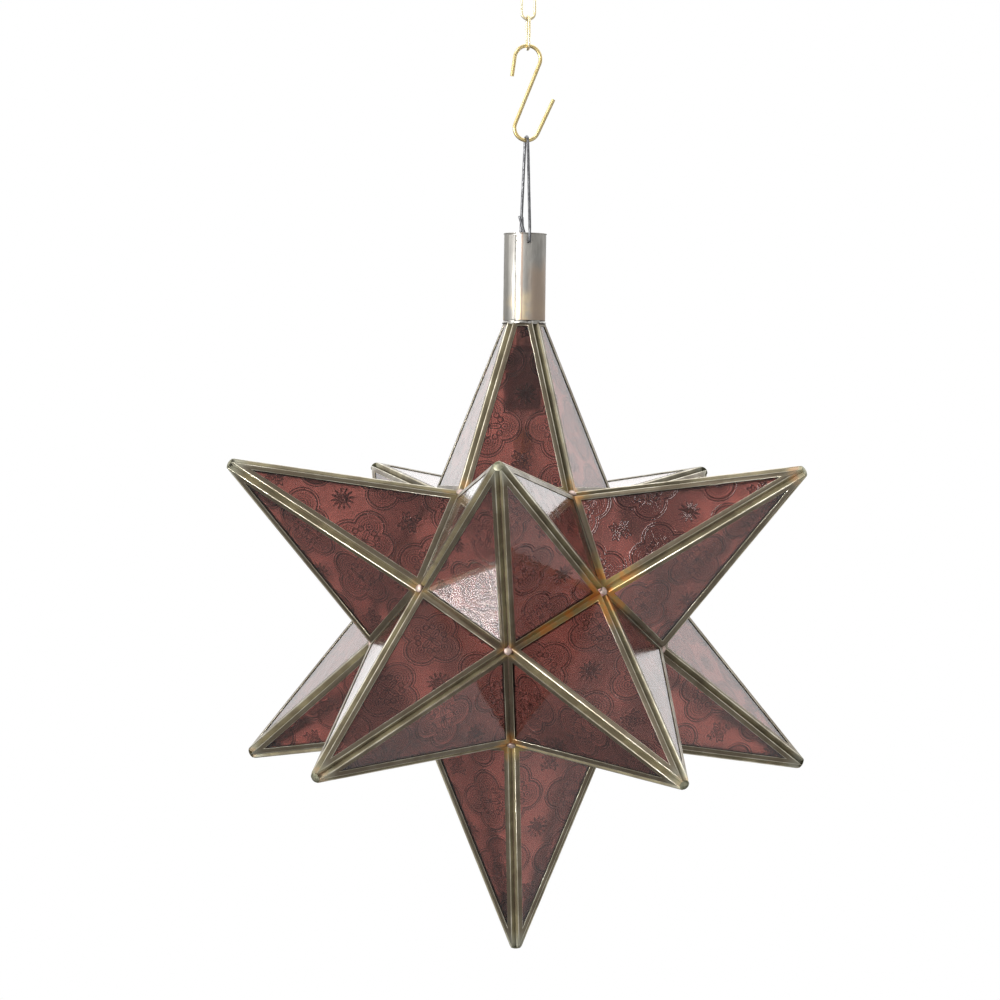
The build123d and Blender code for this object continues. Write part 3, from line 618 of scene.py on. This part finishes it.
def cutSheet(name, ridgeGap, baseGap, cut=None):
    # a fine grid, bisected along the pane's edges
    edge = star["cameWall"] + star["glassGap"]
    inset, foot = ridgeGap + edge, baseGap + edge
    top = paneHeight - inset / math.sin(pointHalf) if cut is None else cut - edge
    halfFoot = paneHalf * (1 - foot / paneHeight) - inset / math.cos(pointHalf)
    countX = int(2 * halfFoot / emboss["gridStep"])
    countY = int((top - foot) / emboss["gridStep"])
    pick()
    bpy.ops.mesh.primitive_grid_add(x_subdivisions=countX, y_subdivisions=countY, size=1)
    sheet = bpy.context.object
    sheet.name = name
    sheet.scale = (2 * halfFoot, top - foot, 1)
    sheet.location = (0, (top + foot) / 2, 0)
    bpy.ops.object.transform_apply(location=True, rotation=True, scale=True)
    editAll(sheet)
    for side in (-1, 1):
        bpy.ops.mesh.select_all(action="SELECT")
        bpy.ops.mesh.bisect(
            plane_co=(side * halfFoot, foot, 0),
            plane_no=(side * math.cos(pointHalf), math.sin(pointHalf), 0),
            clear_outer=True,
        )
    bpy.ops.mesh.select_all(action="SELECT")
    bpy.ops.mesh.remove_doubles(threshold=emboss["gridStep"] * 0.12)
    bpy.ops.object.mode_set(mode="OBJECT")
    dropLayers(sheet)
    return sheet


def closeSheet(sheet):
    # the grid is the inner face; its border is extruded to the outer face and filled
    editAll(sheet)
    bpy.ops.mesh.select_mode(type="EDGE")
    bpy.ops.mesh.select_all(action="DESELECT")
    bpy.ops.mesh.select_non_manifold(
        extend=False, use_wire=False, use_boundary=True, use_multi_face=False
    )
    bpy.ops.mesh.extrude_region_move()
    bpy.ops.mesh.edge_face_add()
    bpy.ops.mesh.select_mode(type="VERT")
    bpy.ops.object.mode_set(mode="OBJECT")
    outer = [vertex.index for vertex in sheet.data.vertices if vertex.select]
    face = (star["cameDepth"] - star["glassThick"]) / 2
    for vertex in sheet.data.vertices:
        vertex.co.z = -face - star["glassThick"]
    for index in outer:
        sheet.data.vertices[index].co.z = -face
    editAll(sheet)
    bpy.ops.mesh.normals_make_consistent(inside=False)
    bpy.ops.object.mode_set(mode="OBJECT")
    return outer


def embossPane(blank, outerFace, name, place, seed):
    pane = bpy.data.objects.new(name, blank.data.copy())
    bpy.context.scene.collection.objects.link(pane)
    mesh = pane.data
    count = len(mesh.vertices)
    points = np.empty(count * 3)
    mesh.vertices.foreach_get("co", points)
    points = points.reshape(-1, 3)
    shifter = random.Random(seed)
    period, lean = emboss["period"], emboss["sheetLean"]
    shiftX, shiftY = shifter.uniform(0, period), shifter.uniform(0, period)
    sheetTurn = math.radians(shifter.choice((0, 90, 180, 270)) + shifter.uniform(-lean, lean))
    sheetX = points[:, 0] * math.cos(sheetTurn) - points[:, 1] * math.sin(sheetTurn) + shiftX
    sheetY = points[:, 0] * math.sin(sheetTurn) + points[:, 1] * math.cos(sheetTurn) + shiftY
    pressed = np.ones(count, bool)
    pressed[outerFace] = False
    rise = reliefDepth(sheetX, sheetY) + emboss["waveDepth"] + reliefWave(sheetX, sheetY, seed)
    points[pressed, 2] += rise[pressed]
    mesh.vertices.foreach_set("co", points.ravel())
    layer = mesh.uv_layers.new(name="sheet")
    corners = np.empty(len(mesh.loops), int)
    mesh.loops.foreach_get("vertex_index", corners)
    layer.data.foreach_set("uv", np.column_stack((sheetX[corners], sheetY[corners])).ravel())
    mesh.transform(place)
    mesh.update()
    return pane


def finishPane(piece, glass, name, body, node):
    piece.name = name
    giveMaterial(piece, *glass)
    # the one many-sided face of each pane is its outer face; dust lies on the panes that face up
    for face in piece.data.polygons:
        isOuter = len(face.vertices) > 8
        isDusty = face.normal.z > glassLook["dustyFrom"]
        face.material_index = 1 if not isOuter else 2 if isDusty else 0
    pick(piece)
    bpy.ops.object.shade_smooth_by_angle(angle=math.radians(glassLook["smoothAngle"]))
    dressPiece(piece, body, node)


def makePanes():
    glass = makeGlassMaterials()
    blanks = {}
    for key, ridgeGap, baseGap, cut in (
        ("whole", ridgeSetback, star["touch"], None),
        ("neck", ridgeSetback, star["touch"], neckCut),
        ("door", ridgeSetback + star["doorGap"], star["doorGap"], None),
    ):
        sheet = cutSheet(key + "Sheet", ridgeGap, baseGap, cut)
        blanks[key] = (sheet, closeSheet(sheet))
    doorSpike, doorOther = spikes["lower_spike_4"], spikes["upper_spike_4"]
    seed = 100
    for label, spike in spikes.items():
        panes = []
        for other in neighbours(spike):
            seed += 1
            isDoor = spike is doorSpike and other is doorOther
            key = "door" if isDoor else "neck" if label == "top_spike" else "whole"
            pane = embossPane(*blanks[key], "pane", panePlace(spike, other), seed)
            if isDoor:
                finishPane(pane, glass, "doorPane", "door", "door_glass")
            else:
                panes.append(pane)
        pick(*panes)
        bpy.ops.object.join()
        finishPane(panes[0], glass, labelFor(label) + "Panes", "star", label + "_glass")
    for sheet, _ in blanks.values():
        bpy.data.objects.remove(sheet)


makePanes()
print("glass panes")

# brass cames
cameLook = {
    # flange, groove and edge: colour, lighter colour, roughness, metallic
    "finishes": {
        "agedBrass": ((0.106, 0.085, 0.059), (0.150, 0.127, 0.090), 0.40, 0.9),
        "grooveBrass": ((0.100, 0.082, 0.048), (0.175, 0.150, 0.086), 0.5, 0.3),
        # the edge is rubbed brass, brightened further as a painted highlight
        "wornEdgeAndHighlightBrass": ((0.38, 0.34, 0.25), (0.66, 0.62, 0.51), 0.34, 1.0),
    },
    "stain": (0.42, 0.165, 0.04),
    "gold": (0.34, 0.25, 0.085),
    "goldShare": 0.8,
    "tin": (0.30, 0.30, 0.24),
    "tinShare": 0.6,
    "tinSpan": (0.214, 0.226),  # from the star's centre
    "patchScale": 45,
    "patchSpan": (0.38, 0.66),
    "blotchScale": 90,
    "blotchSpan": (0.42, 0.60),
    "rougher": 0.08,
    "smoother": 0.06,
    "dentScale": 160,
    "dentHeight": 0.00025,
    "dentStrength": 0.6,
    "cornerRound": 0.00058,
    "bevel": 0.00018,
    "smoothAngle": 40,
}
# where heat and flux left colours: the spikes that meet there (or one spike, near its point),
# distance from the centre, reach, strength
stains = [
    (("upper_spike_1", "upper_spike_2", "lower_spike_2"), 0.108, 0.034, 0.9),
    (("upper_spike_1", "lower_spike_2"), 0.101, 0.034, 0.7),
    (("top_spike", "upper_spike_1", "upper_spike_2"), 0.108, 0.016, 0.45),
    (("top_spike", "upper_spike_1", "upper_spike_5"), 0.108, 0.014, 0.35),
    (("upper_spike_1", "lower_spike_1", "upper_spike_5"), 0.108, 0.010, 0.3),
    (("upper_spike_2",), 0.226, 0.012, 0.9),
    (("lower_spike_2",), 0.229, 0.010, 0.9),
    (("lower_spike_1",), 0.227, 0.011, 0.7),
    (("lower_spike_5",), 0.227, 0.007, 0.6),
    (("bottom_spike", "lower_spike_1", "lower_spike_2"), 0.108, 0.015, 0.7),
    (("upper_spike_1", "lower_spike_1", "lower_spike_2"), 0.111, 0.009, 0.5),
    (("upper_spike_3", "upper_spike_4", "lower_spike_4"), 0.108, 0.022, 0.8),
    (("bottom_spike", "lower_spike_3", "lower_spike_4"), 0.108, 0.018, 0.7),
]


def stainNodes(tree):
    place = addNode(tree, "TexCoord").outputs["Object"]
    level = None
    for names, distance, reach, strength in stains:
        way = sum((spikes[name] for name in names), Vector()).normalized()
        away = distanceFrom(tree, place, star["centre"] + way * distance)
        spot = mapRange(tree, away, reach, reach * 0.3, 0.0, strength)
        level = spot if level is None else mathNode(tree, "MAXIMUM", level, spot)
    return level


def cameMaterial(name):
    base, light, roughness, metal = cameLook["finishes"][name]
    material, tree, shader = startMaterial(name)
    shader.inputs["Metallic"].default_value = metal
    patches = noiseAt(tree, cameLook["patchScale"], 4, 0.6)
    colour = mixColour(tree, mapRange(tree, patches, *cameLook["patchSpan"]), base, light)
    place = addNode(tree, "TexCoord").outputs["Object"]
    radius = distanceFrom(tree, place, star["centre"])
    near = stainNodes(tree)
    blotch = noiseAt(tree, cameLook["blotchScale"], 3, 0.6)
    blotch = mapRange(tree, blotch, *cameLook["blotchSpan"])
    gilded = mathNode(tree, "MULTIPLY", near, cameLook["goldShare"])
    colour = mixColour(tree, gilded, colour, cameLook["gold"])
    colour = mixColour(tree, mathNode(tree, "MULTIPLY", near, blotch), colour, cameLook["stain"])
    tinned = mapRange(tree, radius, *cameLook["tinSpan"])
    tinned = mathNode(tree, "MULTIPLY", tinned, cameLook["tinShare"])
    colour = mixColour(tree, tinned, colour, cameLook["tin"])
    tree.links.new(colour, shader.inputs["Base Color"])
    rough, smooth = roughness + cameLook["rougher"], roughness - cameLook["smoother"]
    worn = mapRange(tree, patches, 0.3, 0.7, rough, smooth)
    tree.links.new(worn, shader.inputs["Roughness"])
    dents = noiseAt(tree, cameLook["dentScale"], 3, 0.55)
    bumpFrom(tree, shader, dents, cameLook["dentHeight"], cameLook["dentStrength"])
    return material


def weighEdges(came, places):
    # the strip is round at its front corner along the ridges, and sharp where cames touch
    sides = {}
    for face in came.data.polygons:
        for key in face.edge_keys:
            sides.setdefault(key, []).append(face)
    inward = [place.inverted() for place in places]
    weights = came.data.attributes.new("bevel_weight_edge", "FLOAT", "EDGE")
    thin = cameLook["bevel"] / cameLook["cornerRound"]
    for edge in came.data.edges:
        around = sides[tuple(sorted(edge.vertices))]
        flats = [face for face in around if face.material_index == 0]
        walls = [face for face in around if face.material_index == 1]
        if not flats or not walls:
            continue
        facing = [flats[0].normal.dot(place.to_3x3().col[2]) for place in places]
        pane = max(range(len(places)), key=lambda step: abs(facing[step]))
        points = came.data.vertices
        ends = [inward[pane] @ points[index].co for index in edge.vertices]
        longest = max((points[a].co - points[b].co).length for a, b in walls[0].edge_keys)
        # a wall as deep as the came is its web, a narrower one the strip's own edge
        onWeb = walls[0].area / longest > star["cameDepth"] * 0.9
        atFront = min(end.z for end in ends) > -star["touch"] * 2
        atValley = max(abs(end.y) for end in ends) < star["doorGap"] * 2
        if onWeb:
            weights.data[edge.index].value = 1.0 if atFront and not atValley else 0.0
        else:
            weights.data[edge.index].value = thin


def makeCames():
    finishes = [cameMaterial(name) for name in cameLook["finishes"]]
    for label in list(spikes) + ["door"]:
        node = label + "_came"
        came = copyNode(node, labelFor(label) + "Cames")
        dissolveFlats(came)
        giveMaterial(came, *finishes)
        # walls look away from the pane's own face: darker than the flanges
        if label == "door":
            places = [panePlace(spikes["lower_spike_4"], spikes["upper_spike_4"])]
        else:
            places = [panePlace(spikes[label], other) for other in neighbours(spikes[label])]
        outwards = [place.to_3x3().col[2] for place in places]
        for face in came.data.polygons:
            nearest = max(abs(face.normal.dot(out)) for out in outwards)
            face.material_index = 0 if nearest > 0.995 else 1
        weighEdges(came, places)
        bevel = came.modifiers.new("roundEdges", "BEVEL")
        bevel.width = cameLook["cornerRound"]
        bevel.segments = 3
        bevel.limit_method = "WEIGHT"
        # the rounded edges take the rubbed finish, brightened as a painted highlight
        bevel.material = 2
        applyAll(came)
        pick(came)
        bpy.ops.object.shade_smooth_by_angle(angle=math.radians(cameLook["smoothAngle"]))
        dressPiece(came, "door" if label == "door" else "star", node)


makeCames()
print("cames")

# solder
solderLook = {
    "tin": (0.50, 0.38, 0.335),
    "dull": (0.32, 0.26, 0.225),
    "tip": (0.30, 0.29, 0.21),
    "tipDark": (0.13, 0.13, 0.085),
    "beadRadius": 0.0029,
    "beadSink": 0.0008,
    "flatten": 0.46,
    "lumps": 0.00022,
    "lumpScale": 420,
    "lumpShift": 37,  # so that no two beads are alike
    "roughness": 0.5,
    "rougher": 0.15,
    "patchScale": 260,
    "patchSpan": (0.38, 0.62),
    "grainScale": 420,
    "grainHeight": 0.0002,
    "grainStrength": 0.6,
}


def solderMaterial(name, bright, dull, roughness):
    material, tree, shader = startMaterial(name)
    shader.inputs["Metallic"].default_value = 1.0
    patches = noiseAt(tree, solderLook["patchScale"], 4, 0.6)
    patches = mapRange(tree, patches, *solderLook["patchSpan"])
    tree.links.new(mixColour(tree, patches, dull, bright), shader.inputs["Base Color"])
    worn = mapRange(tree, patches, 0, 1, roughness + solderLook["rougher"], roughness)
    tree.links.new(worn, shader.inputs["Roughness"])
    grain = noiseAt(tree, solderLook["grainScale"], 3)
    bumpFrom(tree, shader, grain, solderLook["grainHeight"], solderLook["grainStrength"])
    return material


def cornerWays():
    ways = {}
    for first in spikes.values():
        ring = neighbours(first)
        for step, second in enumerate(ring):
            trio = (first, second, ring[(step + 1) % 5])
            if spikes["lower_spike_4"] in trio and spikes["upper_spike_4"] in trio:
                continue
            way = (trio[0] + trio[1] + trio[2]).normalized()
            ways[tuple(round(value, 4) for value in way)] = way
    return list(ways.values())


def makeSolderBeads():
    beads = []
    lumps = solderLook["lumps"]
    for way in cornerWays():
        pick()
        bpy.ops.mesh.primitive_ico_sphere_add(subdivisions=4, radius=solderLook["beadRadius"])
        bead = bpy.context.object
        for vertex in bead.data.vertices:
            spot = vertex.co * solderLook["lumpScale"] + way * solderLook["lumpShift"]
            vertex.co += vertex.co.normalized() * (noise.noise(spot) * lumps - lumps)
            vertex.co.z *= solderLook["flatten"]
        place = way.to_track_quat("Z", "Y").to_matrix().to_4x4()
        place.translation = star["centre"] + way * (star["valleyReach"] - solderLook["beadSink"])
        bead.data.transform(place)
        beads.append(bead)
    pick(*beads)
    bpy.ops.object.join()
    beads[0].name = "cornerSolder"
    bpy.ops.object.shade_smooth()
    tones = solderLook["tin"], solderLook["dull"], solderLook["roughness"]
    giveMaterial(beads[0], solderMaterial("brightSolder", *tones))
    dressPiece(beads[0], "star", "valley_solder")


def dressNode(material, *names):
    # a CAD node keeps its mesh; only what its material slots hold is changed
    for name in names:
        piece = nodes[name]
        if not piece.material_slots:
            piece.data.materials.append(material)
        for place in piece.material_slots:
            place.material = material


makeSolderBeads()
tipTones = solderLook["tip"], solderLook["tipDark"], solderLook["roughness"]
dressNode(solderMaterial("tipSolder", *tipTones), "tip_solder")
print("solder")

# collar: rolled tinned sheet with heat tint near its foot
collarLook = {
    "sheet": (0.37, 0.355, 0.325),
    "sheetDark": (0.275, 0.265, 0.245),
    # straw, then pink: colour, heights above the foot, noise scale, detail, span
    "heatTints": [
        ((0.56, 0.455, 0.29), (0.040, 0.012), 60, 3, (0.42, 0.62)),
        ((0.46, 0.30, 0.235), (0.020, 0.008), 85, 2, (0.50, 0.62)),
    ],
    "mauve": (0.36, 0.285, 0.225),
    # the lap's dark line, then the flux: azimuth in degrees, half width in radians, colour
    "runs": [(-127.5, 0.030, (0.07, 0.07, 0.065)), (-108.5, 0.055, (0.26, 0.19, 0.15))],
    "runScale": 120,
    "runWander": 1.2,
    "runSoft": 1.7,
    "runShare": 0.85,
    "footHeight": -0.2293,
    "brownAt": -52,  # azimuth in degrees
    "brownSpread": (0.85, 0.35),  # radians from there
    "brownHeights": (-0.171, -0.181),
    "brownShare": 0.9,
    "streakScale": 170,
    "streakDrawn": (1.0, 1.0, 0.22),
    "wanderScale": 45,
    "wander": 0.03,
    "dentScale": 55,
    "grainScale": 420,
    "grainShare": 0.12,
    "dentHeight": 0.0006,
    "dentStrength": 0.7,
    "bevel": 0.00012,
    "bevelAngle": 40,
    "smoothAngle": 35,
    "beadStep": 0.0005,
    "beadLumps": 0.0013,
    "beadLumpScale": 260,
    "beadRoughness": 0.36,
}


def collarMaterial():
    material, tree, shader = startMaterial("tinnedSheet")
    shader.inputs["Metallic"].default_value = 1.0
    place = addNode(tree, "TexCoord").outputs["Object"]
    parts = addNode(tree, "SeparateXYZ", Vector=place)
    stretch = {"i0": place, "i1": collarLook["streakDrawn"]}
    drawn = addNode(tree, "VectorMath", {"operation": "MULTIPLY"}, **stretch).outputs[0]
    streaks = noiseAt(tree, collarLook["streakScale"], 4, 0.6, drawn)
    level = mapRange(tree, streaks, 0.35, 0.65)
    colour = mixColour(tree, level, collarLook["sheetDark"], collarLook["sheet"])
    wander = noiseAt(tree, collarLook["wanderScale"], 3)
    wander = mathNode(tree, "MULTIPLY_ADD", wander, collarLook["wander"], parts.outputs[2])
    foot = collarLook["footHeight"]
    for tone, (high, low), scale, detail, span in collarLook["heatTints"]:
        heated = mapRange(tree, wander, foot + high, foot + low)
        blotch = mapRange(tree, noiseAt(tree, scale, detail), *span)
        colour = mixColour(tree, mathNode(tree, "MULTIPLY", heated, blotch), colour, tone)
    # one side is browned
    around = mathNode(tree, "ARCTAN2", parts.outputs[1], parts.outputs[0])
    turned = mathNode(tree, "SUBTRACT", around, math.radians(collarLook["brownAt"]))
    turned = mapRange(tree, mathNode(tree, "ABSOLUTE", turned), *collarLook["brownSpread"])
    brown = mathNode(tree, "MULTIPLY", turned, mapRange(tree, wander, *collarLook["brownHeights"]))
    brown = mathNode(tree, "MULTIPLY", brown, collarLook["brownShare"])
    colour = mixColour(tree, brown, colour, collarLook["mauve"])
    # a dark line at the lap and a brown run of flux beside it
    for turn, half, tone in collarLook["runs"]:
        beside = mathNode(tree, "ABSOLUTE", mathNode(tree, "SUBTRACT", around, math.radians(turn)))
        wavy = noiseAt(tree, collarLook["runScale"], 2)
        wavy = mathNode(tree, "MULTIPLY_ADD", wavy, half * collarLook["runWander"], beside)
        inRun = mapRange(tree, wavy, half * collarLook["runSoft"], half)
        inRun = mathNode(tree, "MULTIPLY", inRun, collarLook["runShare"])
        colour = mixColour(tree, inRun, colour, tone)
    tree.links.new(colour, shader.inputs["Base Color"])
    tree.links.new(mapRange(tree, streaks, 0.3, 0.7, 0.54, 0.44), shader.inputs["Roughness"])
    dents, grain = (noiseAt(tree, collarLook[key], 2) for key in ("dentScale", "grainScale"))
    dents = mathNode(tree, "MULTIPLY_ADD", grain, collarLook["grainShare"], dents)
    bumpFrom(tree, shader, dents, collarLook["dentHeight"], collarLook["dentStrength"])
    return material


def makeCollar():
    sheet = collarMaterial()
    for node, name in (("collar", "collarTube"), ("collar_lap", "collarSeam")):
        piece = copyNode(node, name)
        giveMaterial(piece, sheet)
        dissolveFlats(piece)
        bevel = piece.modifiers.new("softEdges", "BEVEL")
        bevel.width = collarLook["bevel"]
        bevel.segments = 2
        bevel.limit_method = "ANGLE"
        bevel.angle_limit = math.radians(collarLook["bevelAngle"])
        applyAll(piece)
        pick(piece)
        bpy.ops.object.shade_smooth_by_angle(angle=math.radians(collarLook["smoothAngle"]))
        dressPiece(piece, "star", node)


def makeNeckBead():
    # run on by hand, so it is lumpy
    bead = copyNode("neck_solder", "neckBead")
    dissolveFlats(bead)
    remesh = bead.modifiers.new("even", "REMESH")
    remesh.mode = "VOXEL"
    remesh.voxel_size = collarLook["beadStep"]
    applyAll(bead)
    ridgeAt = math.radians(star["turn"] - 54)
    thinned = []
    for vertex in bead.data.vertices:
        # thick on the five ridges, thin between them
        around = math.atan2(vertex.co.y, vertex.co.x) - ridgeAt
        lump = noise.noise(vertex.co * collarLook["beadLumpScale"])
        share = 0.62 - 0.45 * math.cos(5 * around) + 0.45 * lump
        thinned.append(vertex.co - vertex.normal * max(share, 0) * collarLook["beadLumps"])
    for vertex, spot in zip(bead.data.vertices, thinned):
        vertex.co = spot
    pick(bead)
    bpy.ops.object.shade_smooth()
    tones = collarLook["sheet"], collarLook["sheetDark"], collarLook["beadRoughness"]
    giveMaterial(bead, solderMaterial("neckSolder", *tones))
    dressPiece(bead, "star", "neck_solder")


makeCollar()
makeNeckBead()
print("collar")

# wires and small metal
metals = {
    # name: base, darker, metallic, roughness, noise scale, bump
    "steelWire": ((0.16, 0.16, 0.165), (0.08, 0.08, 0.085), 1.0, 0.42, 240, 0.00012),
    "hookBrass": ((0.68, 0.56, 0.29), (0.50, 0.39, 0.175), 1.0, 0.30, 70, 0.00002),
    "chainBrass": ((0.84, 0.78, 0.58), (0.70, 0.60, 0.36), 1.0, 0.24, 120, 0.00002),
    "fittingBrass": ((0.46, 0.36, 0.18), (0.22, 0.165, 0.085), 1.0, 0.34, 190, 0.00010),
    "pipeSteel": ((0.50, 0.49, 0.46), (0.30, 0.29, 0.27), 1.0, 0.36, 260, 0.00010),
    "contactBrass": ((0.72, 0.56, 0.26), (0.46, 0.33, 0.14), 1.0, 0.28, 240, 0.00006),
    "lampCapTin": ((0.72, 0.71, 0.69), (0.50, 0.49, 0.47), 1.0, 0.26, 300, 0.00005),
    "gripPlastic": ((0.030, 0.028, 0.026), (0.016, 0.015, 0.014), 0.0, 0.42, 340, 0.00006),
    "holderShell": ((0.150, 0.092, 0.078), (0.085, 0.055, 0.046), 0.0, 0.38, 300, 0.00006),
    "ceramic": ((0.80, 0.78, 0.73), (0.68, 0.66, 0.60), 0.0, 0.30, 160, 0.00004),
    "blackGlass": ((0.02, 0.02, 0.022), (0.012, 0.012, 0.014), 0.0, 0.15, 200, 0.00002),
    "filamentCoat": ((0.85, 0.62, 0.22), (0.70, 0.48, 0.16), 0.0, 0.55, 500, 0.00004),
}


def plainMetal(name):
    base, darker, metal, roughness, scale, depth = metals[name]
    material, tree, shader = startMaterial(name)
    shader.inputs["Metallic"].default_value = metal
    patches = mapRange(tree, noiseAt(tree, scale, 4, 0.6), 0.36, 0.64)
    tree.links.new(mixColour(tree, patches, darker, base), shader.inputs["Base Color"])
    worn = mapRange(tree, patches, 0, 1, roughness + 0.14, roughness)
    tree.links.new(worn, shader.inputs["Roughness"])
    bumpFrom(tree, shader, noiseAt(tree, scale * 1.7, 3), depth, 0.7)
    return material


lampLook = {
    # roughness, refraction, transmission
    "bulb": (0.0, 1.45, 1.0),
    "bulbTints": ((0.96, 0.97, 0.96), (1.0, 1.0, 1.0)),
    "bulbScale": 30,
    "rippleHeight": 0.0003,
    "rippleStrength": 0.3,
    "stem": (0.2, 1.5, 0.8),
    "stemTints": ((0.85, 0.87, 0.86), (0.95, 0.96, 0.95)),
    "stemScale": 200,
}


def lampMaterials():
    bulb, tree, shader = startGlass("clearBulb", *lampLook["bulb"])
    ripple = noiseAt(tree, lampLook["bulbScale"], 2)
    clear = mixColour(tree, ripple, *lampLook["bulbTints"])
    tree.links.new(clear, shader.inputs["Base Color"])
    bumpFrom(tree, shader, ripple, lampLook["rippleHeight"], lampLook["rippleStrength"])
    inside, tree, shader = startGlass("stemGlass", *lampLook["stem"])
    cloudy = mixColour(tree, noiseAt(tree, lampLook["stemScale"], 2), *lampLook["stemTints"])
    tree.links.new(cloudy, shader.inputs["Base Color"])
    return bulb, inside


fittings = {
    "steelWire": ["hanger"],
    "hookBrass": ["s_hook"],
    "chainBrass": ["upper_chain_link", "lower_chain_link"],
    "fittingBrass": [
        "hinge_fixed_leaves", "hinge_door_leaf", "hinge_pin", "door_pull", "door_stops",
        "catch_rivet", "catch_tab",
    ],
    "pipeSteel": ["cross_plate", "lamp_pipe", "pipe_nuts", "grip_screw"],
    "gripPlastic": ["cord_grip"],
    "holderShell": ["holder_cap", "holder_body"],
    "ceramic": ["holder_core"],
    "contactBrass": ["screw_shell", "centre_contact", "terminal_screws", "lamp_contact"],
    "lampCapTin": ["lamp_cap"],
    "blackGlass": ["lamp_insulator"],
    "filamentCoat": ["lamp_filament"],
}
for look, names in fittings.items():
    dressNode(plainMetal(look), *names)
bulbGlass, stemGlass = lampMaterials()
dressNode(bulbGlass, "lamp_glass")
dressNode(stemGlass, "lamp_stem")
print("wires, fittings, lamp")
